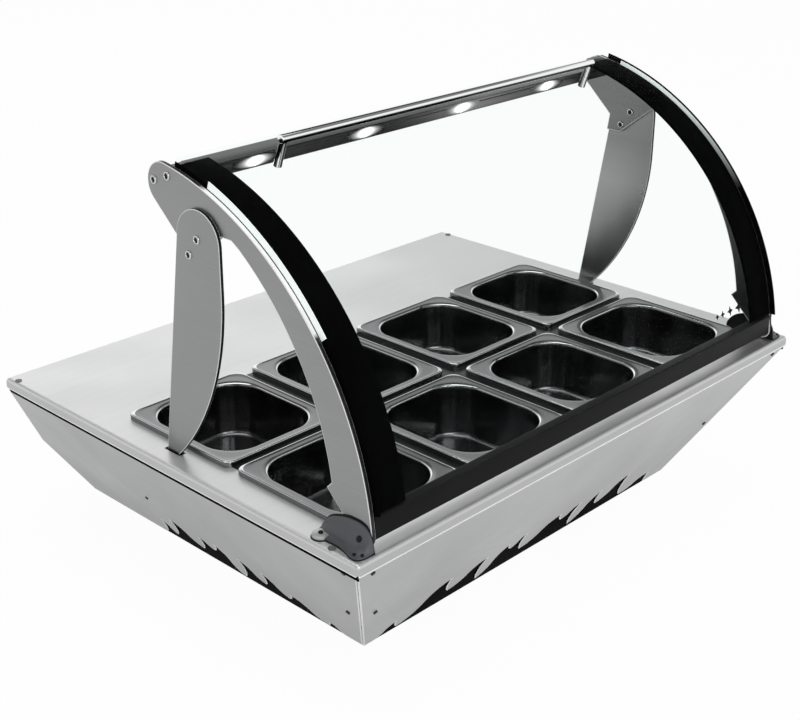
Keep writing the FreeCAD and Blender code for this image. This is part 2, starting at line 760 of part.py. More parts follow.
def upper_frame():
    """Stiffening ring welded under the worktop, seen as the dark line below its skirt."""
    z0, z1 = f"{TOP} - sheet_thickness - frame_height", f"{TOP} - sheet_thickness"
    outer = block(f"-{HALF} + frame_inset", f"{HALF} - frame_inset", f"{FRONT} + frame_inset",
                  f"{BACK} - frame_inset", z0, z1)
    wall = "(frame_inset + frame_thickness)"
    inner = block(f"-{HALF} + {wall}", f"{HALF} - {wall}", f"{FRONT} + {wall}", f"{BACK} - {wall}",
                  f"{z0} - frame_height", f"{z1} + frame_height")
    node("upper_frame", cut(outer, inner))


def worktop_plugs():
    """Flat cover caps on the spare holes of the worktop."""
    spots = [(sign, depth) for sign in ("-", "") for depth in ("plug_front", "worktop_depth - plug_rear")]
    node("worktop_plugs", group([rod("plug_radius", "plug_height", f"{sign}({HALF} - plug_side)",
                                     f"{FRONT} + {depth}", TOP) for sign, depth in spots]))


# Chilled well
def tub_limits(drop, grow):
    """Limits of the tapered well at a depth, grown by a wall."""
    lean = f"(tub_taper*({drop})/tub_depth)"
    side = f"({OPENING_HALF} + tub_gap + ({grow}) - {lean})"
    return (f"-{side}", side, f"{OPENING_FRONT} - tub_gap - ({grow}) + {lean}",
            f"{OPENING_REAR} + tub_gap + ({grow}) - {lean}")


def cross_bar_line(i):
    """X of the gap after pan number i of a row."""
    return f"({i + 1} - {PANS_PER_ROW}/2)*{PITCH_X}"


def well_tub():
    """Seamless liner with a flange under the worktop and lugs that carry the bars."""
    top = f"({TOP} - sheet_thickness)"
    outer = taper_block(f"{TOP} - {TUB_FLOOR_DROP}", top,
                        tub_limits(TUB_FLOOR_DROP, "tub_wall"), tub_limits("sheet_thickness", "tub_wall"))
    inner = taper_block(f"{TOP} - tub_depth", f"{top} + sheet_thickness",
                        tub_limits("tub_depth", "0"), tub_limits("0", "0"))
    rim = tub_limits("0", "tub_flange")
    flange = block(*rim, f"{top} - tub_wall", top)
    lugs = []
    for i in range(PANS_PER_ROW - 1):
        x = cross_bar_line(i)
        z = (f"{TOP} - bar_height - lug_thickness", f"{TOP} - bar_height")
        half = "lug_width/2"
        lugs.append(block(f"{x} - {half}", f"{x} + {half}", f"{OPENING_FRONT} - tub_gap - tub_wall/2",
                          f"{OPENING_FRONT} + lug_reach", *z))
        lugs.append(block(f"{x} - {half}", f"{x} + {half}", f"{OPENING_REAR} - lug_reach",
                          f"{OPENING_REAR} + tub_gap + tub_wall/2", *z))
    floor = f"{TOP} - bar_height - sheet_thickness"
    for sign in (-1, 1):
        reach = {1: f"({OPENING_HALF} + tub_gap + tub_wall/2)", 0: f"({OPENING_HALF} - lug_reach)"}
        x0, x1 = (reach[0], reach[1]) if sign > 0 else (f"-{reach[1]}", f"-{reach[0]}")
        lugs.append(block(x0, x1, f"{ROW_LINE} - lug_width/2", f"{ROW_LINE} + lug_width/2",
                          f"{floor} - lug_thickness", floor))
    shell = cut(fuse(outer, flange), inner)
    node("well_tub", fuse(shell, *lugs))


def row_divider():
    """Hat-section bar between the two rows of pans."""
    half = "(pan_row_gap/2 + rim_overlap)"
    length = f"({tub_limits('bar_height + sheet_thickness', '0')[1]} - fit_gap)"
    under = f"({TOP} - bar_height)"
    hood = block(f"-{length}", length, f"{ROW_LINE} - {half}", f"{ROW_LINE} + {half}", under, TOP)
    hollow = block(f"-{length} - 1", f"{length} + 1", f"{ROW_LINE} - {half} + sheet_thickness",
                   f"{ROW_LINE} + {half} - sheet_thickness", f"{under} - 1", f"{TOP} - sheet_thickness")
    lips = []
    for sign in (-1, 1):
        ends = [f"{ROW_LINE} + {sign}*({half} - sheet_thickness)",
                f"{ROW_LINE} + {sign}*({half} + bar_flange)"]
        lips.append(block(f"-{length}", length, *ends[::sign], f"{under} - sheet_thickness", under))
    node("row_divider", fuse(cut(hood, hollow), *lips))


def cross_dividers():
    """Short channel bars between neighbouring pans of a row."""
    half = "(pan_side_gap/2 + rim_overlap)"
    middle = "(pan_row_gap/2 + rim_overlap + fit_gap)"
    front, rear = tub_limits("bar_height", "0")[2:]
    rows = [(f"{front} + fit_gap", f"{ROW_LINE} - {middle}"), (f"{ROW_LINE} + {middle}", f"{rear} - fit_gap")]
    bars = []
    for i in range(PANS_PER_ROW - 1):
        x = cross_bar_line(i)
        for y0, y1 in rows:
            hood = block(f"{x} - {half}", f"{x} + {half}", y0, y1, f"{TOP} - bar_height", TOP)
            hollow = block(f"{x} - {half} + sheet_thickness", f"{x} + {half} - sheet_thickness",
                           f"{y0} - 1", f"{y1} + 1", f"{TOP} - bar_height - 1", f"{TOP} - sheet_thickness")
            bars.append(cut(hood, hollow))
    node("cross_dividers", group(bars))


COIL_HALF = "(coil_run/2)"
COIL_Z = f"({TOP} - {TUB_FLOOR_DROP} - fit_gap - coil_radius)"


def coil_line(i):
    """Y of a run of the cooling coil."""
    return f"({FRONT} + coil_front + {i}*coil_pitch)"


def evaporator_coil():
    """Serpentine cooling tube under the floor of the well, with both ends led to the rear."""
    bits = [rod("coil_radius", "coil_run", f"-{COIL_HALF}", coil_line(i), COIL_Z, "x")
            for i in range(COIL_RUNS)]
    for i in range(COIL_RUNS - 1):
        bend = bind(doc.addObject("Part::Torus", "bend"), Radius1="coil_pitch/2", Radius2="coil_radius")
        bend.Angle3 = 180
        side = 1 if i % 2 == 0 else -1
        bits.append(place(bend, f"{side}*{COIL_HALF}", f"{coil_line(i)} + coil_pitch/2", COIL_Z, (0, 0, 1),
                          "-90" if side > 0 else "90"))
    tail = f"(-{COIL_HALF} - coil_pitch/2 - coil_tail)"
    rear = f"({FRONT} + insulation_rear)"
    bits += [rod("coil_radius", "coil_pitch/2 + coil_tail", tail, coil_line(0), COIL_Z, "x"),
             ball("coil_radius", tail, coil_line(0), COIL_Z),
             rod("coil_radius", f"{rear} - {coil_line(0)}", tail, coil_line(0), COIL_Z, "y"),
             ball("coil_radius", f"-{COIL_HALF}", coil_line(COIL_RUNS - 1), COIL_Z),
             rod("coil_radius", f"{rear} - {coil_line(COIL_RUNS - 1)}", f"-{COIL_HALF}",
                 coil_line(COIL_RUNS - 1), COIL_Z, "y")]
    node("evaporator_coil", fuse(*bits))


def insulation():
    """Foam block round the well, with a hollow for the coil."""
    def limits(drop):
        side = f"{HALF} - {side_face(drop, 'sheet_thickness + insulation_gap')}"
        front = f"{FRONT} + {front_face(drop, 'sheet_thickness + insulation_gap')}"
        return f"-({side})", side, front, f"{FRONT} + insulation_rear"
    foam = taper_block(f"{TOP} - {INSULATION_DROP}", f"{TOP} - insulation_top_drop",
                       limits(INSULATION_DROP), limits("insulation_top_drop"))
    room = taper_block(f"{TOP} - {TUB_FLOOR_DROP}", TOP,
                       tub_limits(TUB_FLOOR_DROP, "tub_wall + fit_gap"),
                       tub_limits("0", "tub_wall + fit_gap"))
    margin = "(coil_radius + fit_gap)"
    hollow = block(f"-{COIL_HALF} - coil_pitch/2 - coil_tail - {margin}",
                   f"{COIL_HALF} + coil_pitch/2 + {margin}",
                   f"{coil_line(0)} - {margin}", f"{FRONT} + insulation_rear + 1",
                   f"{COIL_Z} - {margin}", f"{COIL_Z} + {margin} + 1")
    node("insulation", cut(foam, room, hollow))


def deck():
    """Plate under the foam and the two channels that stand it on the tray."""
    side = f"({HALF} - {side_face(INSULATION_DROP, 'sheet_thickness + insulation_gap')} - deck_margin)"
    front = f"{FRONT} + {front_face(INSULATION_DROP, 'sheet_thickness + insulation_gap')} + deck_margin"
    under = f"({TOP} - {INSULATION_DROP} - sheet_thickness)"
    node("deck_plate", block(f"-{side}", side, front, f"{FRONT} + insulation_rear",
                             under, f"{under} + sheet_thickness"))
    channels = []
    for sign in (-1, 1):
        x = f"{sign}*support_spacing/2"
        half = "support_width/2"
        y0, y1 = f"{FRONT} + support_front", f"{FRONT} + insulation_rear"
        hood = block(f"{x} - {half}", f"{x} + {half}", y0, y1, TRAY_FLOOR, under)
        hollow = block(f"{x} - {half} + sheet_thickness", f"{x} + {half} - sheet_thickness",
                       f"{y0} - 1", f"{y1} + 1", f"{TRAY_FLOOR} - 1", f"{under} - sheet_thickness")
        channels.append(cut(hood, hollow))
    node("deck_supports", group(channels))


def pan(name, column, row):
    """Drawn steel pan with a wide flat rim and large mouth corners."""
    body = new_body()
    rim = outline(new_sketch(body, "XY_Plane"), *rounded("pan_width", "pan_length", "pan_rim_corner"))
    pad(body, rim, "pan_rim_height")
    lip = new_sketch(body, "XY_Plane")
    outline(lip, *rounded("pan_width - 2*pan_sheet", "pan_length - 2*pan_sheet",
                          "pan_rim_corner - pan_sheet"))
    pocket = body.newObject("PartDesign::Pocket", "pocket")
    pocket.Profile = lip
    pocket.Reversed = True
    bind(pocket, Length="pan_rim_height - pan_sheet")
    for kind, grow, floor in (("Additive", "2*pan_sheet", "0"), ("Subtractive", "0", "pan_sheet")):
        sketches = []
        bottom = f"pan_rim_height - pan_depth + {floor}"
        for height, draft in (("pan_rim_height", "0"), (bottom, "pan_draft")):
            sketch = new_sketch(body, "XY_Plane", height)
            less = f"2*pan_rim_width + 2*{draft} - {grow}"
            outline(sketch, *rounded(f"pan_width - ({less})", f"pan_length - ({less})",
                                     f"pan_mouth_corner - {draft}"))
            sketches.append(sketch)
        loft = body.newObject(f"PartDesign::{kind}Loft", "loft")
        loft.Profile = sketches[0]
        loft.Sections = [sketches[1]]
        loft.Ruled = True
    x = f"({column} - {PANS_PER_ROW - 1}/2)*{PITCH_X}"
    y = f"{FRONT} + pan_front_margin + pan_length/2 + {row}*{PITCH_Y}"
    node(name, place(body, x, y, f"{TOP} + pan_seat_gap"))


# Canopy
def arm(name, sign):
    """Sickle-shaped side plate with a round hinge foot, a head for the rail and a tail for the post."""
    head = canopy_point("canopy_radius - arm_head_radius", "90 - arm_head_angle")
    inner_end = ("(canopy_center_depth - sqrt((canopy_radius - arm_inner_shift)^2"
                 " - (arm_window_corner - canopy_center_height)^2))")
    reach = "canopy_radius/(canopy_radius - arm_foot_radius)"
    toe = (f"canopy_center_depth - (canopy_center_depth - {HINGE_DEPTH})*{reach}",
           f"canopy_center_height + (hinge_height - canopy_center_height)*{reach}")
    slope = f"atan((arm_heel_height - hinge_height)/(arm_heel_depth - {HINGE_DEPTH}))"
    points = [toe,
              canopy_point("canopy_radius", "90 - arm_head_angle"),
              (f"{head[0]} + arm_head_radius*sin(arm_head_wrap)",
               f"{head[1]} - arm_head_radius*cos(arm_head_wrap)"),
              ("arm_kink_depth", "arm_kink_height"),
              ("arm_tail_rear", "arm_tail_height"),
              ("arm_tail_front", "arm_tail_height"),
              ("arm_window_rear", "arm_window_height"),
              ("arm_window_front", "arm_window_height"),
              (inner_end, "arm_window_corner"),
              ("arm_heel_depth - arm_heel_top + arm_heel_height", "arm_heel_top"),
              ("arm_heel_depth", "arm_heel_height"),
              (f"{HINGE_DEPTH} + arm_foot_radius*sin({slope})",
               f"hinge_height - arm_foot_radius*cos({slope})")]
    arcs = {0: ("canopy_radius", -1), 1: ("arm_head_radius", -1), 8: ("arm_inner_radius", 1),
            11: ("arm_foot_radius", -1)}
    holes = [(HINGE_DEPTH, "hinge_height", "hinge_bush_radius + hinge_running_gap"),
             ("post_bolt_upper_depth", "post_bolt_upper_height", HOLE),
             ("post_bolt_lower_depth", "post_bolt_lower_height", HOLE),
             ("rail_bolt_front_depth", "rail_bolt_front_height", HOLE),
             ("rail_bolt_rear_depth", "rail_bolt_rear_height", HOLE)]
    body = plate("YZ_Plane", points, "arm_thickness", arcs, holes, reverse=sign > 0)
    node(name, place(body, f"{sign}*({HALF} - arm_side_inset)", FRONT, TOP))


def post(name, sign):
    """Curved rear plate with a round head, bolted to the arm; its foot drops into the worktop slot."""
    front = "(post_head_depth - post_head_radius)"
    rear = "(post_head_depth + post_head_radius)"
    run = f"(post_foot_depth - {front})"
    points = [(front, "post_head_height"),
              (front, "post_waist_height"),
              ("post_foot_depth", "0"),
              ("post_foot_depth", "-post_foot_reach"),
              ("post_foot_depth + post_foot_width", "-post_foot_reach"),
              ("post_foot_depth + post_foot_width", "0"),
              (rear, "post_head_height"),
              ("post_head_depth", "post_head_height + post_head_radius")]
    arcs = {1: (f"({run}^2 + post_waist_height^2)/(2*{run})", 1),
            6: ("post_head_radius", 1), 7: ("post_head_radius", 1)}
    holes = [("post_bolt_upper_depth", "post_bolt_upper_height", HOLE),
             ("post_bolt_lower_depth", "post_bolt_lower_height", HOLE)]
    body = plate("YZ_Plane", points, "post_thickness", arcs, holes, reverse=sign < 0)
    node(name, place(body, f"{sign}*({HALF} - arm_side_inset)", FRONT, TOP))


def post_sockets():
    """Guide cups under the worktop slots that take the feet of the posts."""
    cups = []
    for sign in (-1, 1):
        middle = f"{sign}*({HALF} - arm_side_inset + post_thickness/2)"
        half = "(post_thickness/2 + slot_clearance)"
        y0 = f"({FRONT} + post_foot_depth - slot_end_clearance)"
        y1 = f"({FRONT} + post_foot_depth + post_foot_width + slot_end_clearance)"
        z0, z1 = f"({TOP} - post_foot_reach - fit_gap)", f"({TOP} - sheet_thickness)"
        cup = block(f"{middle} - {half} - socket_wall", f"{middle} + {half} + socket_wall",
                    f"{y0} - socket_wall", f"{y1} + socket_wall", f"{z0} - socket_wall", z1)
        cups.append(cut(cup, block(f"{middle} - {half}", f"{middle} + {half}", y0, y1, z0, f"{z1} + 1")))
    node("post_sockets", group(cups))


def bolts():
    """Bolts with a low head at each side through post and arm, and bolts from the arms into the top rail."""
    through, ends = [], []
    for sign in (-1, 1):
        face = f"({HALF} - arm_side_inset)"
        grip = "(post_thickness + arm_thickness)"
        for spot in ("upper", "lower"):
            y = f"{FRONT} + post_bolt_{spot}_depth"
            z = f"{TOP} + post_bolt_{spot}_height"
            low = f"{sign}*({face} + post_thickness - {grip}/2) - {grip}/2"
            through.append(fuse(rod("bolt_radius", grip, low, y, z, "x"),
                                rod("bolt_head_radius", "bolt_head_height",
                                    f"{low} - bolt_head_height", y, z, "x"),
                                rod("bolt_head_radius", "bolt_head_height", f"{low} + {grip}", y, z, "x")))
        for spot in ("front", "rear"):
            y = f"{FRONT} + rail_bolt_{spot}_depth"
            z = f"{TOP} + rail_bolt_{spot}_height"
            grip = "(arm_thickness + rail_bolt_reach)" if spot == "front" else "arm_thickness"
            low = f"{sign}*({face} - {grip}/2) - {grip}/2"
            head = f"{sign}*({face} + bolt_head_height/2) - bolt_head_height/2"
            bits = [rod("bolt_radius", grip, low, y, z, "x"),
                    rod("bolt_head_radius", "bolt_head_height", head, y, z, "x")]
            if spot == "rear":
                nut = f"{sign}*({HALF} - {ARM_IN} - bolt_head_height/2) - bolt_head_height/2"
                bits.append(rod("bolt_head_radius", "bolt_head_height", nut, y, z, "x"))
            ends.append(fuse(*bits))
    node("post_bolts", group(through))
    node("rail_bolts", group(ends))


def canopy_sheet(inner, outer, width):
    """Part of a cylinder that spans the glass's angles."""
    points = [canopy_point(outer, "glass_low_angle"), canopy_point(outer, "glass_high_angle"),
              canopy_point(inner, "glass_high_angle"), canopy_point(inner, "glass_low_angle")]
    body = plate("YZ_Plane", points, width, {0: (outer, -1), 2: (inner, 1)}, symmetric=True)
    return place(body, "0", FRONT, TOP)


def glass_and_bands():
    """Curved pane and the black steel bands that carry its ends."""
    span = f"(worktop_width - 2*{ARM_IN} - 2*fit_gap)"
    node("glass_pane", canopy_sheet(GLASS_INNER, GLASS_OUTER, span))
    bands = []
    for sign in (-1, 1):
        band = canopy_sheet("canopy_radius + fit_gap - band_thickness", "canopy_radius + fit_gap",
                            "band_width")
        bands.append(place(band, f"{sign}*({HALF} - {ARM_IN} - fit_gap - band_width/2)", FRONT, TOP))
    node("glass_bands", group(bands))


def front_rail():
    """Square rail under the lower edge of the glass, between the hinge feet."""
    half = f"({HALF} - {ARM_IN} - fit_gap)"
    node("front_rail", block(f"-{half}", half, f"{FRONT} + front_rail_front",
                             f"{FRONT} + front_rail_front + front_rail_depth",
                             f"{TOP} + front_rail_bottom", f"{TOP} + front_rail_bottom + front_rail_height"))


LAMP_LEAN = "atan((top_rail_nose - top_rail_front)/(top_rail_front_height - top_rail_nose_height))"


def lamp_place(item, i):
    """Set a lamp piece on the rail's front face, its own +Z along the face's outward normal."""
    x = f"({i} - {LAMPS - 1}/2)*lamp_pitch + lamp_offset"
    return place(item, x, f"{FRONT} + (top_rail_front + top_rail_nose)/2",
                 f"{TOP} + (top_rail_front_height + top_rail_nose_height)/2", (1, 0, 0),
                 f"90 deg + {LAMP_LEAN}")


def top_rail():
    """Lamp rail between the arm heads, with four spot lamps in its leaning front face."""
    points = [("top_rail_front", "top_rail_front_height"), ("top_rail_nose", "top_rail_nose_height"),
              ("top_rail_keel", "top_rail_keel_height"), ("top_rail_rear", "top_rail_rear_height"),
              ("top_rail_rear", "top_rail_height"), ("top_rail_nose", "top_rail_height")]
    bar = plate("YZ_Plane", points, f"worktop_width - 2*{ARM_IN} - 2*fit_gap", symmetric=True)
    place(bar, "0", FRONT, TOP)
    tools = []
    for sign in (-1, 1):
        y, z = f"{FRONT} + rail_bolt_front_depth", f"{TOP} + rail_bolt_front_height"
        reach = "(rail_bolt_reach + bolt_clearance)"
        low = f"{sign}*({HALF} - {ARM_IN} - {reach}/2) - {reach}/2"
        tools.append(rod(HOLE, reach, low, y, z, "x"))
    lenses = []
    for i in range(LAMPS):
        bore = "(lamp_radius + bolt_clearance)"
        tools.append(lamp_place(group([rod(bore, "2*lamp_depth", "0", "0", "-lamp_depth")]), i))
        lens = rod("lamp_radius", "lamp_depth - fit_gap", "0", "0", "-lamp_depth + fit_gap")
        lenses.append(lamp_place(group([lens]), i))
    node("top_rail", cut(bar, *tools))
    node("lamp_lenses", group(lenses))


def handle_place(item, side, lift):
    """Set a piece on the glass at the handle's line, its own +Z along the glass's normal."""
    y, z = canopy_point(f"{GLASS_OUTER} + ({lift})", "90 - handle_angle")
    return place(item, side, f"{FRONT} + {y}", f"{TOP} + {z}", (1, 0, 0), "handle_angle")


def handle():
    """Bright bar on two posts that stand on the glass near its top edge."""
    length = "(handle_spacing + 2*handle_post_radius)"
    y, z = canopy_point(f"{GLASS_OUTER} + handle_reach", "90 - handle_angle")
    node("handle_bar", rod("handle_bar_radius", length, f"handle_offset - {length}/2",
                           f"{FRONT} + {y}", f"{TOP} + {z}", "x"))
    posts = []
    for sign in (-1, 1):
        stem = rod("handle_post_radius", "handle_reach - handle_bar_radius - 2*fit_gap", "0", "0", "0")
        posts.append(handle_place(stem, f"handle_offset + {sign}*handle_spacing/2", "fit_gap"))
    node("handle_posts", group(posts))


# Hinges
def bracket_screw_places(sign):
    """X and Y of the screw of one hinge bracket."""
    return [(f"{sign}*({HALF} - bracket_ear_side)", f"{FRONT} + bracket_ear_depth")]


def hinge_bracket():
    """Cast hinge foot with sloping sides and a screwed ear behind it."""
    inner = "(arm_side_inset - fit_gap)"
    body = new_body()
    low = new_sketch(body, "XY_Plane")
    outline(low, [(inner, "bracket_front"), (inner, "bracket_rear"),
                  ("bracket_waist", "bracket_rear - bracket_ear_radius"),
                  ("bracket_waist", "(bracket_front + bracket_rear)/2"),
                  ("bracket_outer", "bracket_front + bracket_ear_radius"),
                  ("bracket_outer + bracket_ear_radius", "bracket_front")])
    high = new_sketch(body, "XY_Plane", "bracket_height")
    edge = f"({inner} - bracket_top_width)"
    outline(high, [(inner, "bracket_top_front"), (inner, "bracket_top_rear"),
                   (f"{edge} + 1", "bracket_top_rear - 1"),
                   (edge, "(bracket_top_front + bracket_top_rear)/2"),
                   (edge, "bracket_top_front + 2"), (f"{edge} + 1", "bracket_top_front")])
    loft = body.newObject("PartDesign::AdditiveLoft", "loft")
    loft.Profile = low
    loft.Sections = [high]
    loft.Ruled = True
    place(body, f"-{HALF}", FRONT, TOP)
    ear_x, ear_y = f"-{HALF} + bracket_ear_side", f"{FRONT} + bracket_ear_depth"
    ear = rod("bracket_ear_radius", "bracket_ear_thickness", ear_x, ear_y, TOP)
    web = block(ear_x, f"-{HALF} + {inner}", f"{ear_y} - bracket_ear_radius", f"{FRONT} + bracket_rear",
                TOP, f"{TOP} + bracket_ear_thickness")
    pin_hole = rod("hinge_pin_radius + hinge_running_gap", "arm_side_inset", f"-{HALF}",
                   f"{FRONT} + {HINGE_DEPTH}", f"{TOP} + hinge_height", "x")
    screw_room = rod("bracket_screw_head + fit_gap", "bracket_height", ear_x, ear_y,
                     f"{TOP} + bracket_ear_thickness")
    screw_hole = rod("bracket_screw_radius + bolt_clearance", "bracket_height", ear_x, ear_y,
                     f"{TOP} - bracket_ear_thickness")
    left = node("left_hinge_bracket", cut(fuse(body, ear, web), pin_hole, screw_room, screw_hole))
    node("right_hinge_bracket", mirrored(left))


def hinge_pins():
    """Pins fixed in the brackets and the plastic bushes that turn on them with the arms."""
    pins, bushes = [], []
    y, z = f"{FRONT} + {HINGE_DEPTH}", f"{TOP} + hinge_height"
    for sign in (-1, 1):
        outer = "(bracket_waist + pin_recess)"
        length = f"({ARM_IN} - {outer})"
        low = f"{sign}*({HALF} - {outer} - {length}/2) - {length}/2"
        pins.append(rod("hinge_pin_radius", length, low, y, z, "x"))
        start = f"{sign}*({HALF} - arm_side_inset - arm_thickness/2) - arm_thickness/2"
        bushes.append(cut(rod("hinge_bush_radius", "arm_thickness", start, y, z, "x"),
                          rod("hinge_pin_radius + hinge_running_gap", "3*arm_thickness",
                              f"{start} - arm_thickness", y, z, "x")))
    node("hinge_pins", group(pins))
    node("hinge_bushes", group(bushes))


def bracket_screws():
    """Screws that hold the hinge brackets to the worktop."""
    screws = []
    for sign in (-1, 1):
        for x, y in bracket_screw_places(sign):
            seat = f"{TOP} + bracket_ear_thickness"
            screws.append(fuse(rod("bracket_screw_head", "bracket_screw_height", x, y, seat),
                               rod("bracket_screw_radius", "bracket_screw_length", x, y,
                                   f"{seat} - bracket_screw_length")))
    node("bracket_screws", group(screws))


# Cooling unit
def compressor():
    """Hermetic compressor on a plate with four rubber mounts."""
    x, y = "compressor_side", f"({FRONT} + compressor_depth)"
    seat = f"({TRAY_FLOOR} + mount_height)"
    body = new_body()
    profile = new_sketch(body, "XZ_Plane")
    outline(profile, [("0", "0"), ("0.8*compressor_radius", "0"),
                      ("compressor_radius", "0.2*compressor_radius"),
                      ("compressor_radius", "compressor_height - 0.5*compressor_radius"),
                      ("0.5*compressor_radius", "compressor_height"), ("0", "compressor_height")],
            {3: ("0.5*compressor_radius", 1)})
    turn = body.newObject("PartDesign::Revolution", "turn")
    turn.Profile = profile
    turn.ReferenceAxis = (profile, ["V_Axis"])
    turn.Angle = 360
    place(body, x, y, f"{seat} + compressor_plate")
    half_x, half_y = "compressor_plate_width/2", "compressor_plate_length/2"
    base = block(f"{x} - {half_x}", f"{x} + {half_x}", f"{y} - {half_y}", f"{y} + {half_y}",
                 seat, f"{seat} + compressor_plate")
    node("compressor", fuse(body, base))
    spots = [(a, b) for a in (-1, 1) for b in (-1, 1)]
    node("compressor_mounts", group([rod("mount_radius", "mount_height",
                                         f"{x} + {a}*({half_x} - mount_margin)",
                                         f"{y} + {b}*({half_y} - mount_margin)", TRAY_FLOOR)
                                     for a, b in spots]))


CONDENSER_FRONT = f"({FRONT} + condenser_rear - condenser_thickness)"
SHROUD_FRONT = f"({CONDENSER_FRONT} - fit_gap - shroud_thickness)"
CONDENSER_LOW = f"({TRAY_FLOOR} + condenser_lift)"
FAN_Z = f"({CONDENSER_LOW} + condenser_height/2)"


def condenser():
    """Tube and fin condenser on two end plates that stand on the tray."""
    half = "condenser_width/2"
    y0, y1 = CONDENSER_FRONT, f"{FRONT} + condenser_rear"
    top = f"{CONDENSER_LOW} + condenser_height"
    bits = []
    for sign in (-1, 1):
        ends = [f"condenser_side + {sign}*{half}", f"condenser_side + {sign}*({half} - 2*fin_thickness)"]
        bits.append(block(*ends[::-sign], y0, y1, TRAY_FLOOR, top))
    fins = int(val("(condenser_width - 2*fin_pitch)/fin_pitch"))
    for i in range(fins):
        x = f"(condenser_side + ({i} - {fins - 1}/2)*fin_pitch)"
        bits.append(block(f"{x} - fin_thickness/2", f"{x} + fin_thickness/2", y0, y1, CONDENSER_LOW, top))
    for i in range(CONDENSER_TUBES):
        z = f"{FAN_Z} + ({i} - {CONDENSER_TUBES - 1}/2)*condenser_tube_pitch"
        bits.append(rod("condenser_tube_radius", "condenser_width", f"condenser_side - {half}",
                        f"({y0} + {y1})/2", z, "x"))
    node("condenser", fuse(*bits))


def fan():
    """Fan shroud on the condenser, its motor on three arms, and the rotor."""
    x, half = "condenser_side", "condenser_width/2"
    rear = f"({SHROUD_FRONT} + shroud_thickness)"
    frame = block(f"{x} - {half}", f"{x} + {half}", SHROUD_FRONT, rear, TRAY_FLOOR,
                  f"{CONDENSER_LOW} + condenser_height")
    bore = rod("fan_radius + fan_tip_gap", "3*shroud_thickness", x,
               f"{SHROUD_FRONT} - shroud_thickness", FAN_Z, "y")
    face = f"({SHROUD_FRONT} - motor_gap)"
    reach = "(fan_radius + fan_tip_gap + motor_arm)"
    hub = rod("motor_radius + motor_arm", "motor_arm", x, f"{face} - motor_arm", FAN_Z, "y")
    arms = [block(f"{x} - {reach}", f"{x} + {reach}", f"{face} - motor_arm", face,
                  f"{FAN_Z} - motor_arm/2", f"{FAN_Z} + motor_arm/2")]
    for sign in (-1, 1):
        ends = [f"{x} + {sign}*{reach}", f"{x} + {sign}*({reach} - motor_arm)"]
        arms.append(block(*ends[::-sign], f"{face} - motor_arm", SHROUD_FRONT,
                          f"{FAN_Z} - motor_arm/2", f"{FAN_Z} + motor_arm/2"))
    eye = rod("motor_radius + fit_gap", "3*motor_arm", x, f"{face} - 2*motor_arm", FAN_Z, "y")
    node("fan_shroud", cut(fuse(cut(frame, bore), hub, *arms), eye))
    start = f"({face} - motor_length)"
    node("fan_motor", fuse(rod("motor_radius", "motor_length", x, start, FAN_Z, "y"),
                           rod("motor_shaft_radius", "motor_length + motor_gap + fan_hub_length/2", x, start,
                               FAN_Z, "y")))
    hub_start = f"({SHROUD_FRONT} + fit_gap)"
    bits = [rod("fan_hub_radius", "fan_hub_length - motor_gap - 2*fit_gap", x, hub_start, FAN_Z, "y")]
    depth = f"({hub_start} + fan_hub_length/2 - motor_gap)"
    for i in range(FAN_BLADES):
        length = "(fan_radius - 0.7*fan_hub_radius)"
        blade = centered("fan_blade_width", "fan_blade_thickness", "0.7*fan_hub_radius",
                         f"0.7*fan_hub_radius + {length}")
        pitched = place(group([blade]), axis=(0, 0, 1), angle="fan_blade_pitch")
        bits.append(place(group([pitched]), x, depth, FAN_Z, (0, 1, 0), f"{i}*360/{FAN_BLADES}"))
    shaft = rod("motor_shaft_radius + hinge_running_gap", "2*fan_hub_length", x,
                f"{hub_start} - fan_hub_length", FAN_Z, "y")
    reach_in = f"({face} + motor_gap + fan_hub_length/2 + fit_gap)"
    blind = common(shaft, block(f"{x} - {half}", f"{x} + {half}", f"{hub_start} - fan_hub_length", reach_in,
                                f"{FAN_Z} - {half}", f"{FAN_Z} + {half}"))
    node("fan_rotor", cut(fuse(*bits), blind))


def run_of_pipe(corners):
    """Round tube through corners that lie along X, Y or Z from each other."""
    bits = []
    for first, second in zip(corners, corners[1:]):
        axis = next(k for k in range(3) if first[k] != second[k])
        low, high = (first, second) if val(first[axis]) < val(second[axis]) else (second, first)
        bits.append(rod("pipe_radius", f"({high[axis]}) - ({low[axis]})", *low, "xyz"[axis]))
    bits += [ball("pipe_radius", *corner) for corner in corners[1:-1]]
    return fuse(*bits)


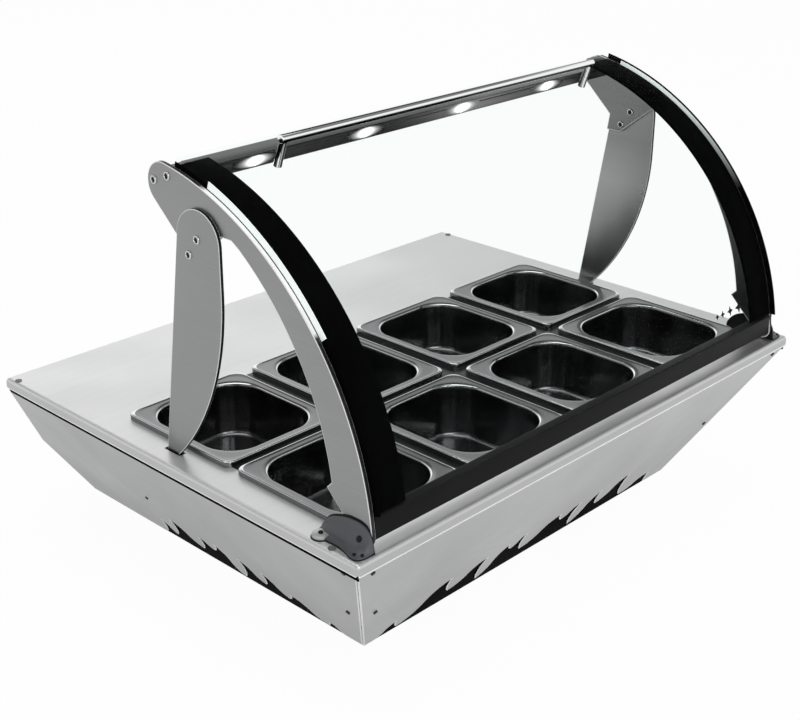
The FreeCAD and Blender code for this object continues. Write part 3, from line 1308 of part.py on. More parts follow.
def pipes():
    """Suction line from the coil to the compressor and hot gas line on to the condenser."""
    rear = f"({FRONT} + insulation_rear + fit_gap)"
    shell_top = f"({TRAY_FLOOR} + mount_height + compressor_plate + compressor_height)"
    high = f"({TOP} - pipe_high_drop)"
    level = f"({TRAY_FLOOR} + mount_height + compressor_plate + compressor_height/2)"
    y_mid = f"({FRONT} + compressor_depth)"
    tail = f"(-{COIL_HALF} - coil_pitch/2 - coil_tail)"
    lane = f"({rear} + 3*pipe_radius)"
    skin = "(compressor_side - compressor_radius - fit_gap)"
    node("suction_pipe", run_of_pipe([(tail, rear, COIL_Z), (tail, lane, COIL_Z), (tail, lane, level),
                                      (tail, y_mid, level), (skin, y_mid, level)]))
    tube_x = "(condenser_side - condenser_width/2 - fit_gap)"
    tube_y = f"({FRONT} + condenser_rear - condenser_thickness/2)"
    tube_z = f"({FAN_Z} + {CONDENSER_TUBES - 1}/2*condenser_tube_pitch)"
    turn_x = f"({tube_x} - 4*pipe_radius)"
    node("hot_gas_pipe", run_of_pipe([("compressor_side", y_mid, f"{shell_top} + fit_gap"),
                                      ("compressor_side", y_mid, high), (turn_x, y_mid, high),
                                      (turn_x, tube_y, high), (turn_x, tube_y, tube_z),
                                      (tube_x, tube_y, tube_z)]))
    low_z = f"({FAN_Z} - {CONDENSER_TUBES - 1}/2*condenser_tube_pitch)"
    node("liquid_pipe", run_of_pipe([(tube_x, tube_y, low_z), (turn_x, tube_y, low_z), (turn_x, lane, low_z),
                                     (f"-{COIL_HALF}", lane, low_z), (f"-{COIL_HALF}", lane, COIL_Z),
                                     (f"-{COIL_HALF}", rear, COIL_Z)]))


# Electrical pieces
def controls():
    """Thermostat, rocker switch, mains inlet and lamp supply at the operator's side."""
    skin = "(sheet_thickness + fit_gap)"
    collar = "(knob_shaft_radius + 2)"
    bush = rod("knob_shaft_radius + hinge_running_gap", "3*thermostat_depth", "0", "0", "-thermostat_depth")
    case = fuse(rod("thermostat_radius", "thermostat_depth", "0", "0", f"-thermostat_depth - {skin}"),
                rod(collar, skin, "0", "0", f"-{skin}"))
    node("thermostat_body", on_rear(cut(case, bush), "thermostat_side"))
    cap = fuse(rod("knob_radius", "knob_height", "0", "0", "knob_gap"),
               rod("knob_shaft_radius", "thermostat_depth/2 + knob_gap", "0", "0", "-thermostat_depth/2"),
               block("-knob_pointer/2", "knob_pointer/2", "-knob_radius", "0", "knob_height + knob_gap",
                     "knob_height + knob_gap + knob_pointer"))
    node("thermostat_knob", on_rear(cap, "thermostat_side"))
    well = "(rocker_radius + rocker_gap)"
    shell = fuse(centered("switch_width", "switch_length", "-switch_depth", "0"),
                 centered("switch_width + 2*switch_flange", "switch_length + 2*switch_flange", "fit_gap",
                          "switch_bezel + fit_gap"),
                 centered("switch_width", "switch_length", "0", "fit_gap"))
    room = rod(well, "rocker_width + 2*rocker_gap", "-rocker_width/2 - rocker_gap", "0",
               "switch_bezel - rocker_radius/2", "x")
    node("power_switch", on_rear(cut(shell, room), "switch_side"))
    drum = rod("rocker_radius", "rocker_width", "-rocker_width/2", "0", "switch_bezel - rocker_radius/2", "x")
    lid = group([centered("2*rocker_width", "4*rocker_radius", "0", "2*rocker_radius")])
    place(lid, "0", "0", "switch_bezel + rocker_radius/4", (1, 0, 0), "rocker_tilt")
    node("power_rocker", on_rear(cut(drum, lid), "switch_side"))
    inlet = fuse(centered("inlet_width", "inlet_height", "-inlet_depth", "0"),
                 centered("inlet_width + 2*inlet_flange", "inlet_height + inlet_flange", "fit_gap",
                          "inlet_bezel + fit_gap"),
                 centered("inlet_width", "inlet_height", "0", "fit_gap"))
    recess = centered("inlet_width - 2*inlet_wall", "inlet_height - 2*inlet_wall",
                      "inlet_wall - inlet_depth", "2*inlet_bezel")
    pins = [block(f"{i}*inlet_pin_pitch - inlet_pin_thickness/2",
                  f"{i}*inlet_pin_pitch + inlet_pin_thickness/2",
                  "-inlet_pin_width/2", "inlet_pin_width/2", "-inlet_depth + inlet_wall/2",
                  "-inlet_depth + inlet_wall + inlet_pin_length") for i in (-1, 0, 1)]
    node("power_inlet", on_rear(fuse(cut(inlet, recess), *pins), "inlet_side"))
    half = "driver_width/2"
    node("lamp_driver", block(f"-{half}", half, f"{FRONT} + driver_rear - driver_length",
                              f"{FRONT} + driver_rear", f"{TOP} - sheet_thickness - driver_height",
                              f"{TOP} - sheet_thickness"))


def build():
    """Make every piece of the case."""
    worktop()
    upper_frame()
    worktop_plugs()
    front_panel()
    side_panel("left_side_panel", -1)
    side_panel("right_side_panel", 1)
    rear_cover()
    shell_screws()
    base_tray()
    feet()
    well_tub()
    row_divider()
    cross_dividers()
    evaporator_coil()
    insulation()
    deck()
    for row, row_name in enumerate(("front", "rear")):
        for column in range(PANS_PER_ROW):
            pan(f"{row_name}_pan_{column + 1}", column, row)
    for side, sign in (("left", -1), ("right", 1)):
        arm(f"{side}_arm", sign)
        post(f"{side}_post", sign)
    post_sockets()
    bolts()
    glass_and_bands()
    front_rail()
    top_rail()
    handle()
    hinge_bracket()
    hinge_pins()
    bracket_screws()
    compressor()
    condenser()
    fan()
    pipes()
    controls()


def export():
    """Check every object and write one file per piece."""
    doc.recompute()
    failed = [item.Name for item in doc.Objects if {"Invalid", "Error"} & set(item.State)]
    failed += [name for name, item in nodes.items() if item.Shape.isNull() or not item.Shape.isValid()]
    if failed:
        raise RuntimeError(f"pieces that failed: {failed}")
    os.makedirs("parts", exist_ok=True)
    for name, item in nodes.items():
        item.Shape.exportStep(f"parts/{name}.step")
        print(f"{name}: {len(item.Shape.Solids)} solids, {item.Shape.Volume / 1000:.1f} cm3")
    print(len(nodes), "pieces")


build()
export()
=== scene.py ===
"""Looks of a countertop topping display case: a tapered steel base, eight pans and a curved glass canopy.

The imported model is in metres: +Z up, -Y is the customer's side. New pieces are worked out on a drawing in
millimetres whose origin is the worktop's front left corner: X to the right, Y to the rear, Z up from its top.
"""
import functools
import logging
import math
from dataclasses import dataclass
from enum import Enum
from typing import Protocol, Sequence

import bpy
import numpy as np
from mathutils import Matrix, Vector

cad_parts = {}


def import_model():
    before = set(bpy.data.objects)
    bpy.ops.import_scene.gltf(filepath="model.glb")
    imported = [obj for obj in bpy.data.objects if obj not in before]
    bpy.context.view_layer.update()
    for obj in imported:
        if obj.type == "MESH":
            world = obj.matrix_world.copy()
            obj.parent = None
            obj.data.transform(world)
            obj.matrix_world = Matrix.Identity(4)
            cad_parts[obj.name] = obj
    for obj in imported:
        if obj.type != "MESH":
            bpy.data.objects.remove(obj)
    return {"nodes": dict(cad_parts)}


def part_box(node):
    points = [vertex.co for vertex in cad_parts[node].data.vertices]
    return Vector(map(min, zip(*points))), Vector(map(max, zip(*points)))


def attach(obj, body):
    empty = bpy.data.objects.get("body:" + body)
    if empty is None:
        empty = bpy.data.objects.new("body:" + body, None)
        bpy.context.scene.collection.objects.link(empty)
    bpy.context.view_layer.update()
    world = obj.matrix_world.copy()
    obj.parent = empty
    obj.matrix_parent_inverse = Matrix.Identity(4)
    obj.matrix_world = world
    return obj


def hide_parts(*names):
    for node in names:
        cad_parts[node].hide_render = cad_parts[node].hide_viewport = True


LOG = logging.getLogger("topping_display_case")
MM = 0.001
Socket = bpy.types.NodeSocket
Colour = tuple[float, float, float]
Point = Sequence[float]
Pair = tuple[float, float]
Pairs = tuple[Pair, ...]
# Name of the number on each point of a piece that paints light on it: the lamps' glow and the handle's
# reflections.
PAINTED_LIGHT = "tone"
SIDES = ("left", "right")
EDGE_STEPS = 3
# A fade that paints light and shade over height: the heights in metres where it starts and ends, and the
# strength of the colour at both.
Fade = tuple[float, float, float, float]
# A wave: its crest, the crest's rise, the trough after it and the trough's rise.
Wave = tuple[float, float, float, float]
# The hinge's axis on the drawing: depth and height.
HINGE = (20.36, 13.0)


# Surfaces
@dataclass
class Surface:
    """Closed surface of quads with flat end caps.

    The zone of a quad tells the flat faces (0), the bevels (1) and the rims (2) of a plate apart.
    """

    points: np.ndarray
    quads: np.ndarray
    caps: list[np.ndarray]
    zones: np.ndarray

    def volume(self) -> float:
        """Signed volume: a sixth of the sum of the triple products of the triangles."""
        fans = [np.stack([np.full(len(cap) - 2, cap[0]), cap[1:-1], cap[2:]], axis=1) for cap in self.caps]
        triangles = np.concatenate([self.quads[:, [0, 1, 2]], self.quads[:, [0, 2, 3]], *fans])
        a, b, c = (self.points[triangles[:, k]] - self.points[0] for k in range(3))
        return float(np.einsum("ij,ij->", a, np.cross(b, c))) / 6

    def outward(self) -> "Surface":
        """The same surface with its faces turned outwards."""
        if self.volume() >= 0:
            return self
        return Surface(self.points, self.quads[:, ::-1], [cap[::-1] for cap in self.caps], self.zones)

    def placed(self, origin: Point, basis: Sequence[Point]) -> "Surface":
        """Carry the surface into another frame: origin plus coordinates times the basis rows.

        Args:
            origin: Where the local origin goes.
            basis: Directions of the local X, Y and Z axes, one per row.

        Returns:
            The carried surface, its faces outwards.
        """
        points = self.points @ np.asarray(basis, float) + np.asarray(origin, float)
        return Surface(points, self.quads, self.caps, self.zones).outward()


def lofted(loops: np.ndarray, zones: Sequence[int] = (0,)) -> Surface:
    """Skin over a stack of closed loops.

    Row i, column j of the grid is joined to its neighbours by a quad. The columns wrap round, and the first
    and last loops are closed flat.

    Args:
        loops: Array of shape (rows, points per loop, 3).
        zones: Zone of each row of quads, or one zone for all.

    Returns:
        The closed surface.
    """
    rows, count = loops.shape[:2]
    i, j = np.meshgrid(np.arange(rows - 1), np.arange(count), indexing="ij")
    a, b = (i * count + j).ravel(), (i * count + (j + 1) % count).ravel()
    quads = np.stack([a, b, b + count, a + count], axis=1)
    caps = [np.arange(count)[::-1], (rows - 1) * count + np.arange(count)]
    zone = np.repeat(np.broadcast_to(zones, rows - 1), count)
    return Surface(loops.reshape(-1, 3), quads, caps, zone).outward()


def turned(profile: Sequence[Point], count: int = 48, sides: int = 0, from_row: int = 0) -> Surface:
    """Turned form about Z: a profile point (r, h) becomes (r cos t, r sin t, h).

    From one row on the radius may follow a regular polygon instead of a circle: r cos(s / 2) / cos(t folded
    into one side), where s is the angle of a side.

    Args:
        profile: Radius and height of each ring.
        count: Points round each ring.
        sides: Sides of the polygon, or 0 for round rings only.
        from_row: First ring that follows the polygon.

    Returns:
        The closed surface.
    """
    rings = np.asarray(profile, float)
    angle = np.arange(count) * (2 * math.pi / count)
    swell = np.ones((len(rings), count))
    if sides:
        step = 2 * math.pi / sides
        swell[from_row:] = math.cos(step / 2) / np.cos((angle + step / 2) % step - step / 2)
    radius = rings[:, :1] * swell
    height = np.repeat(rings[:, 1:], count, axis=1)
    return lofted(np.stack([radius * np.cos(angle), radius * np.sin(angle), height], axis=-1))


def arc(center: Point, radius: float, start: float, end: float, count: int) -> np.ndarray:
    """Points of a circle's arc: center plus radius times (cos t, sin t), t from start to end in degrees."""
    angle = np.radians(np.linspace(start, end, count))
    return np.asarray(center, float) + radius * np.stack([np.cos(angle), np.sin(angle)], axis=1)


def arc_through(start: Point, end: Point, radius: float, count: int) -> np.ndarray:
    """Arc from start to end that bows out to the right of its chord.

    Its centre lies on the chord's perpendicular, at the height that the radius leaves over half the chord.

    Args:
        start: First point.
        end: Last point.
        radius: Radius of the arc.
        count: Number of points.

    Returns:
        Array of shape (count, 2).
    """
    first, last = np.asarray(start, float), np.asarray(end, float)
    run = last - first
    chord = np.hypot(*run)
    center = (first + last) / 2 + np.array([-run[1], run[0]]) / chord * math.sqrt(radius**2 - chord**2 / 4)
    a, b = (math.degrees(math.atan2(*(p - center)[::-1])) for p in (first, last))
    return arc(center, radius, a, b + 360 * (b < a), count)


def smooth(points: Sequence[Point], per_span: int) -> np.ndarray:
    """Smooth curve through points.

    Each span is the cubic whose slope at a point is half the step between the point's two neighbours.

    Args:
        points: Points of any dimension.
        per_span: Steps between two points.

    Returns:
        Array of points, one row each.
    """
    p = np.asarray(points, float)
    p = np.concatenate([2 * p[:1] - p[1:2], p, 2 * p[-1:] - p[-2:-1]])
    a, b, c, d = (p[k:len(p) - 3 + k, None] for k in range(4))
    t = np.linspace(0, 1, per_span, endpoint=False)[None, :, None]
    curve = b + 0.5 * t * (c - a + t * (2 * a - 5 * b + 4 * c - d + t * (3 * (b - c) + d - a)))
    return np.concatenate([curve.reshape(-1, p.shape[1]), p[-2:-1]])


def plate(outline: np.ndarray, low: float, high: float, edge: float, bevel: float = 0.0) -> Surface:
    """Flat piece across X with softly rounded edges.

    The outline in (Y, Z) is carried from x = low to x = high. Near both faces it is drawn in along its own
    normals by bevel * (1 - sin t) while x advances by edge * (1 - cos t): each edge is a quarter ellipse.

    Args:
        outline: Points of the closed outline.
        low: X of one face.
        high: X of the other face.
        edge: Depth of the rounded edges, across the piece.
        bevel: Width of the rounded edges on the faces, or 0 for quarter circles.

    Returns:
        The closed surface, whose caps are its two faces.
    """
    side = np.roll(outline, -1, axis=0) - outline
    area = np.sum(outline[:, 0] * np.roll(outline[:, 1], -1) - np.roll(outline[:, 0], -1) * outline[:, 1])
    normal = np.stack([side[:, 1], -side[:, 0]], axis=1) * np.sign(area)
    normal /= np.linalg.norm(normal, axis=1, keepdims=True)
    joint = normal + np.roll(normal, 1, axis=0)
    joint /= np.maximum(np.sum(joint * joint, axis=1, keepdims=True) / 2, 0.5)
    turn = np.linspace(0, math.pi / 2, EDGE_STEPS + 1)
    inset = (bevel or edge) * (1 - np.sin(turn))
    step = edge * (1 - np.cos(turn))
    across = np.concatenate([low + step, (high - step)[::-1]])
    drawn = np.concatenate([inset, inset[::-1]])
    flat = outline[None] - joint[None] * drawn[:, None, None]
    x = np.broadcast_to(across[:, None, None], flat.shape[:2] + (1,))
    bevels = [1] * EDGE_STEPS
    return lofted(np.concatenate([x, flat], axis=2), bevels + [2] + bevels)


def rounded_loops(half_x: np.ndarray, half_y: np.ndarray, corner: np.ndarray, height: np.ndarray,
                  per_corner: int = 18) -> np.ndarray:
    """Rounded rectangles, one loop each.

    Each quarter of a loop is a quarter circle of the corner radius about (half_x - corner, half_y - corner),
    with the signs of its quadrant.

    Args:
        half_x: Half width of each loop.
        half_y: Half length of each loop.
        corner: Corner radius of each loop.
        height: Height of each loop.
        per_corner: Points in a corner.

    Returns:
        Array of shape (loops, 4 * per_corner, 3).
    """
    quarter = np.repeat(np.arange(4), per_corner)
    angle = quarter * math.pi / 2 + np.tile(np.linspace(0, math.pi / 2, per_corner), 4)
    sign_x = np.array([1, -1, -1, 1])[quarter]
    sign_y = np.array([1, 1, -1, -1])[quarter]
    r = corner[:, None]
    x = sign_x * (half_x[:, None] - r) + r * np.cos(angle)
    y = sign_y * (half_y[:, None] - r) + r * np.sin(angle)
    z = np.broadcast_to(height[:, None], x.shape)
    return np.stack([x, y, z], axis=-1)


def facing(normal: Point, side: Point = (1.0, 0.0, 0.0)) -> np.ndarray:
    """Axes of a frame whose Z points along a normal and whose X is a side direction square to it."""
    z = np.asarray(normal, float) / np.linalg.norm(normal)
    return np.stack([side, np.cross(z, side), z])


ALONG_X = np.array([(0, 1, 0), (0, 0, 1), (1, 0, 0)], float)
AGAINST_X = np.array([(0, 0, 1), (0, 1, 0), (-1, 0, 0)], float)
UPRIGHT = np.eye(3)


# Shader nodes
RANGE = ("From Min", "From Max", "To Min", "To Max")
WHITE = (1.0, 1.0, 1.0, 1.0)


def empty_tree(owner: bpy.types.Material | bpy.types.World) -> bpy.types.NodeTree:
    """Node tree of a material or a world, without any node."""
    owner.use_nodes = True
    owner.node_tree.nodes.clear()
    return owner.node_tree


def node(tree: bpy.types.NodeTree, kind: str, inputs: dict[int | str, Socket | float | Point],
         **options: str) -> bpy.types.Node:
    """Add a shader node.

    Args:
        tree: Node tree to add it to.
        kind: Type of the node, without its prefix.
        inputs: A socket to link or a fixed value for each input.
        options: Settings of the node itself.

    Returns:
        The new node.
    """
    made = tree.nodes.new(f"ShaderNode{kind}")
    for option, value in options.items():
        setattr(made, option, value)
    for key, value in inputs.items():
        if isinstance(value, Socket):
            tree.links.new(value, made.inputs[key])
        else:
            made.inputs[key].default_value = value
    return made


def any_ray(tree: bpy.types.NodeTree, *kinds: str) -> Socket:
    """Largest of the flags of some kinds of rays: 1 for a ray of one of them, else 0."""
    flags = node(tree, "LightPath", {}).outputs
    total, *others = (flags[f"Is {kind} Ray"] for kind in kinds)
    for flag in others:
        total = node(tree, "Math", {0: total, 1: flag}, operation="MAXIMUM").outputs[0]
    return total


def mixed(tree: bpy.types.NodeTree, share: Socket, first: bpy.types.Node, second: bpy.types.Node) -> Socket:
    """Shader between two shaders, the second one where the share is 1."""
    return node(tree, "MixShader", {0: share, 1: first.outputs[0], 2: second.outputs[0]}).outputs[0]


# Finishes
class Grain(Enum):
    """Direction of the brush strokes on steel, as pattern scales along X, Y and Z."""

    ALONG_X = (2.0, 520.0, 520.0)
    ALONG_Y = (520.0, 2.0, 520.0)


class Finish(Protocol):
    """A finish that can make its own material."""

    name: str

    def build(self) -> bpy.types.Material:
        """Make the material."""


@functools.cache
def material_of(finish: Finish) -> bpy.types.Material:
    """Material of a finish, made once."""
    return finish.build()


class Paint:
    """Node tree of one material, with a shader at its end."""

    def __init__(self, name: str, **constants: float | Colour) -> None:
        """Start a material.

        Args:
            name: Name of the material.
            constants: Values of the shader's own sockets, their names written with underscores.
        """
        self.material = bpy.data.materials.new(name)
        self.tree = empty_tree(self.material)
        self.shader = node(self.tree, "BsdfPrincipled", {})
        self.end = node(self.tree, "OutputMaterial", {"Surface": self.shader.outputs["BSDF"]})
        self.place = node(self.tree, "TexCoord", {}).outputs["Object"]
        for socket, value in constants.items():
            target = self.shader.inputs[socket.replace("_", " ")]
            target.default_value = (*value, 1.0) if isinstance(value, tuple) else value

    def join(self, source: Socket, target: Socket) -> None:
        """Link two sockets."""
        self.tree.links.new(source, target)

    def scaled(self, scale: Point) -> Socket:
        """Object coordinates times a scale on each axis."""
        return node(self.tree, "Mapping", {"Vector": self.place, "Scale": scale}).outputs["Vector"]

    def noise(self, scale: Point, detail: float) -> Socket:
        """Soft noise with a scale per metre on each axis."""
        inputs = {"Vector": self.scaled(scale), "Scale": 1.0, "Detail": detail}
        return node(self.tree, "TexNoise", inputs).outputs["Fac"]

    def cells(self, scale: Point) -> Socket:
        """Distance to the middle of the nearest cell, with a scale per metre on each axis."""
        inputs = {"Vector": self.scaled(scale), "Scale": 1.0}
        return node(self.tree, "TexVoronoi", inputs).outputs["Distance"]

    def span(self, value: Socket, low: float, high: float, start: float = 0.3, end: float = 0.7) -> Socket:
        """Spread the middle of a pattern over a range of numbers.

        Args:
            value: Pattern to spread.
            low: Result at start.
            high: Result at end.
            start: Lower bound of the pattern.
            end: Upper bound of the pattern.

        Returns:
            The spread value.
        """
        bounds = dict(zip(RANGE, (start, end, low, high)))
        return node(self.tree, "MapRange", {"Value": value, **bounds}).outputs["Result"]

    def tint(self, value: Socket, dark: Colour, light: Colour) -> Socket:
        """Colour between dark and light by a pattern."""
        inputs = {0: self.span(value, 0.0, 1.0), 6: (*dark, 1.0), 7: (*light, 1.0)}
        return node(self.tree, "Mix", inputs, data_type="RGBA").outputs[2]

    def tone(self) -> Socket:
        """The number that a piece carries at each of its points, which paints light and reflections on it."""
        return node(self.tree, "Attribute", {}, attribute_name=PAINTED_LIGHT).outputs["Fac"]

    def dimmed(self, source: Socket, share: Socket) -> Socket:
        """A colour times a share."""
        inputs = {0: 1.0, 6: source, 7: share}
        return node(self.tree, "Mix", inputs, data_type="RGBA", blend_type="MULTIPLY").outputs[2]

    def colour(self, source: Socket, fades: Sequence[Fade] = ()) -> Socket:
        """Drive the base colour.

        Args:
            source: Colour to use.
            fades: Changes of its strength over height, one after another, that paint light and shade.

        Returns:
            The colour with its changes.
        """
        for low, high, below, above in fades:
            height = node(self.tree, "SeparateXYZ", {0: self.place}).outputs["Z"]
            source = self.dimmed(source, self.span(height, below, above, low, high))
        self.join(source, self.shader.inputs["Base Color"])
        return source

    def roughness(self, source: Socket) -> None:
        """Drive the roughness."""
        self.join(source, self.shader.inputs["Roughness"])

    def emission(self, source: Socket) -> None:
        """Drive the colour of the light that the surface gives off."""
        self.join(source, self.shader.inputs["Emission Color"])

    def relief(self, height: Socket, depth: float, under: Socket | None = None) -> Socket:
        """Raise the surface by a pattern.

        Args:
            height: Pattern from 0 to 1.
            depth: Height of the relief in metres.
            under: A coarser relief that this one lies on.

        Returns:
            The bent normal, already linked to the shader.
        """
        base = {} if under is None else {"Normal": under}
        bent = node(self.tree, "Bump", {"Distance": depth, "Height": height, **base}).outputs["Normal"]
        self.join(bent, self.shader.inputs["Normal"])
        return bent


def shade(colour: Colour, factor: float) -> Colour:
    """A colour made lighter or darker."""
    return tuple(min(1.0, channel * factor) for channel in colour)


@dataclass(frozen=True)
class BrushedSteel:
    """Steel sheet with fine brush strokes and faint wiping marks."""

    name: str
    colour: Colour
    grain: Grain
    rough: float = 0.34
    contrast: float = 0.05
    fades: tuple[Fade, ...] = ()

    def build(self) -> bpy.types.Material:
        """Make the material: stretched noise for the strokes, soft noise for the wiping marks."""
        paint = Paint(self.name, Metallic=1.0)
        strokes = paint.noise(self.grain.value, 4.0)
        wiping = paint.noise((7.0, 7.0, 7.0), 4.0)
        dark, light = (shade(self.colour, 1 + sign * self.contrast) for sign in (-1, 1))
        paint.colour(paint.tint(strokes, dark, light), self.fades)
        paint.roughness(paint.span(wiping, self.rough - 0.05, self.rough + 0.06))
        paint.relief(strokes, 0.00002)
        return paint.material


@dataclass(frozen=True)
class PolishedSteel:
    """Drawn and polished steel that is slightly uneven and carries dull spots."""

    name: str
    colour: Colour
    rough: float = 0.16
    wave: float = 0.0004

    def build(self) -> bpy.types.Material:
        """Make the material: large soft unevenness, dull clouds in the roughness and hair-fine scratches."""
        paint = Paint(self.name, Metallic=1.0)
        clouds = paint.noise((30.0, 30.0, 22.0), 5.0)
        hairs = paint.noise((900.0, 14.0, 60.0), 2.0)
        paint.colour(paint.tint(clouds, shade(self.colour, 0.93), shade(self.colour, 1.04)))
        paint.roughness(paint.span(clouds, self.rough - 0.03, self.rough + 0.05))
        uneven = paint.relief(paint.noise((16.0, 16.0, 16.0), 1.0), self.wave)
        paint.relief(hairs, 0.000012, uneven)
        return paint.material


@dataclass(frozen=True)
class Coating:
    """Paint or powder coat with an orange-peel skin and dusty, finger-worn patches."""

    name: str
    colour: Colour
    rough: float = 0.35
    peel: float = 450.0
    depth: float = 0.00003
    metal: float = 0.0
    gloss: float = 0.5
    fades: tuple[Fade, ...] = ()

    def build(self) -> bpy.types.Material:
        """Make the material: fine bumps for the skin, soft noise for the worn patches."""
        paint = Paint(self.name, Metallic=self.metal, Specular_IOR_Level=self.gloss)
        worn = paint.noise((12.0, 12.0, 12.0), 5.0)
        skin = paint.noise((self.peel,) * 3, 2.0)
        paint.colour(paint.tint(worn, shade(self.colour, 0.85), shade(self.colour, 1.2)), self.fades)
        paint.roughness(paint.span(worn, self.rough - 0.06, self.rough + 0.08))
        paint.relief(skin, self.depth)
        return paint.material


@dataclass(frozen=True)
class ChromeWithPaintedStripes:
    """Polished bar with a painted reflection: a bright strip between two dark ones."""

    name: str
    colour: Colour
    dark: float
    strip: Pair

    def build(self) -> bpy.types.Material:
        """Make the material: the painted strips follow the number on each point, with hair-fine scratches
        over them.
        """
        paint = Paint(self.name, Metallic=1.0)
        hairs = paint.noise((14.0, 900.0, 900.0), 2.0)
        size = node(paint.tree, "Math", {0: paint.tone()}, operation="ABSOLUTE").outputs[0]
        strips = paint.span(size, 1.0, self.dark, *self.strip)
        paint.colour(paint.dimmed(paint.tint(hairs, shade(self.colour, 0.94), self.colour), strips))
        paint.roughness(paint.span(hairs, 0.05, 0.11))
        return paint.material


@dataclass(frozen=True)
class PaintedGlowSteel:
    """Steel beside a lamp with a painted glow, strongest at the lamp's edge."""

    name: str
    colour: Colour
    strength: float

    def build(self) -> bpy.types.Material:
        """Make the material: the painted glow follows the number on each point, broken up by fine brush
        strokes.
        """
        paint = Paint(self.name, Metallic=1.0, Base_Color=self.colour, Emission_Strength=self.strength)
        strokes = paint.noise(Grain.ALONG_X.value, 4.0)
        light = paint.tint(strokes, shade(WHITE[:3], 0.8), WHITE[:3])
        paint.emission(paint.dimmed(light, paint.tone()))
        paint.roughness(paint.span(strokes, 0.22, 0.3))
        return paint.material


@dataclass(frozen=True)
class ClearGlass:
    """Clear pane with a faint tint and a trace of wiping marks."""

    name: str
    colour: Colour

    def build(self) -> bpy.types.Material:
        """Make the material: clear glass that lets shadow and diffuse rays straight through."""
        paint = Paint(self.name, Transmission_Weight=1.0, IOR=1.01, Base_Color=self.colour)
        paint.roughness(paint.span(paint.noise((9.0, 9.0, 9.0), 4.0), 0.0, 0.004))
        through = any_ray(paint.tree, "Shadow", "Diffuse")
        clear = node(paint.tree, "BsdfTransparent", {})
        paint.join(mixed(paint.tree, through, paint.shader, clear), paint.end.inputs["Surface"])
        return paint.material


@dataclass(frozen=True)
class GroundGlass:
    """Ground edge of a pane: frosted, pale green, with a painted glow in place of light led along the pane.
    """

    name: str
    colour: Colour
    painted_glow: float
    fades: tuple[Fade, ...] = ()

    def build(self) -> bpy.types.Material:
        """Make the material: fine grinding marks in the colour and the relief, and the colour given off as a
        painted glow.
        """
        paint = Paint(self.name, Roughness=0.42, Emission_Strength=self.painted_glow)
        marks = paint.noise((600.0, 600.0, 600.0), 3.0)
        glow = paint.colour(paint.tint(marks, shade(self.colour, 0.9), self.colour), self.fades)
        paint.emission(glow)
        paint.relief(marks, 0.00003)
        return paint.material


@dataclass(frozen=True)
class LampLens:
    """Bright lens of a small spot lamp, cut into facets."""

    name: str
    colour: Colour
    strength: float

    def build(self) -> bpy.types.Material:
        """Make the material: emission that the facets break up."""
        paint = Paint(self.name, Roughness=0.15, Emission_Strength=self.strength)
        facets = paint.cells((700.0, 700.0, 700.0))
        dim = shade(self.colour, 0.8)
        paint.colour(paint.tint(facets, dim, self.colour))
        paint.emission(paint.tint(facets, self.colour, dim))
        paint.relief(facets, 0.0002)
        return paint.material


@dataclass(frozen=True)
class Foam:
    """Sprayed foam with open cells."""

    name: str
    colour: Colour

    def build(self) -> bpy.types.Material:
        """Make the material: two sizes of cells in the relief and the colour."""
        paint = Paint(self.name, Roughness=0.95)
        cells = paint.cells((260.0, 260.0, 260.0))
        paint.colour(paint.tint(cells, shade(self.colour, 0.8), self.colour))
        lumps = paint.relief(paint.noise((40.0, 40.0, 40.0), 4.0), 0.002)
        paint.relief(cells, 0.0008, lumps)
        return paint.material


TOP_HEIGHT = 0.205
# Painted shade: the panels darken towards the floor.
PANEL_PAINTED_SHADE = ((0.008, 0.19, 0.70, 1.02),)
# Painted shade: below the worktop's top face, its skirt is darker.
SKIRT_PAINTED_SHADE = ((TOP_HEIGHT - 0.004, TOP_HEIGHT - 0.001, 0.62, 1.0),)
# Painted shade: the lamp rail is darker from the top of its front face up.
RAIL_PAINTED_SHADE = ((0.5168, 0.5186, 1.0, 0.32),)
# Painted shade: the right post darkens upwards.
FAR_POST_PAINTED_SHADE = ((0.36, 0.42, 1.0, 0.6),)
# Painted reflection: the right pane end's ground edge turns near black below a height.
FAR_GROUND_PAINTED_REFLECTION = ((0.40, 0.497, 0.03, 1.0),)
# Painted reflection: the arms' cut edges are white only in a band of heights, near black above and below it.
ARM_EDGE_PAINTED_REFLECTION = ((0.402, 0.406, 0.02, 1.0), (0.511, 0.514, 1.0, 0.02))
# Panel steel is darker than the worktop's steel, and the side panels darker again: painted shade on the
# leaning sheets.
PANEL = BrushedSteel("panel_steel", (0.41, 0.413, 0.416), Grain.ALONG_X, 0.36, 0.03, PANEL_PAINTED_SHADE)
SIDE_PANEL = BrushedSteel("side_panel_steel_painted_shade", (0.34, 0.343, 0.346), Grain.ALONG_Y, 0.36, 0.03, PANEL_PAINTED_SHADE)
# Bevels of the panels, arms and posts painted near white: a painted highlight along their edges.
HIGHLIGHT_BEVEL = Coating("bevel_painted_highlight", (0.90, 0.905, 0.91), 0.35, metal=0.1)
# The panels' wave cut edges: polished steel, with a painted highlight that makes them far brighter than the
# panel steel.
CUT_EDGE = PolishedSteel("cut_edge_painted_highlight", (0.72, 0.725, 0.73), 0.26, 0.0001)
WORKTOP = BrushedSteel("worktop_steel", (0.80, 0.803, 0.806), Grain.ALONG_X, 0.44, 0.02, SKIRT_PAINTED_SHADE)
# Dividers between the pans painted near black: the shade in the gaps between the pans' rims.
DIVIDER = BrushedSteel("divider_steel_painted_shade", (0.05, 0.051, 0.052), Grain.ALONG_X, 0.3)
INNER_SHEET = BrushedSteel("inner_sheet_steel", (0.50, 0.51, 0.52), Grain.ALONG_Y, 0.42)
ARM = BrushedSteel("arm_steel_brushed", (0.285, 0.287, 0.29), Grain.ALONG_Y, 0.38, 0.03)
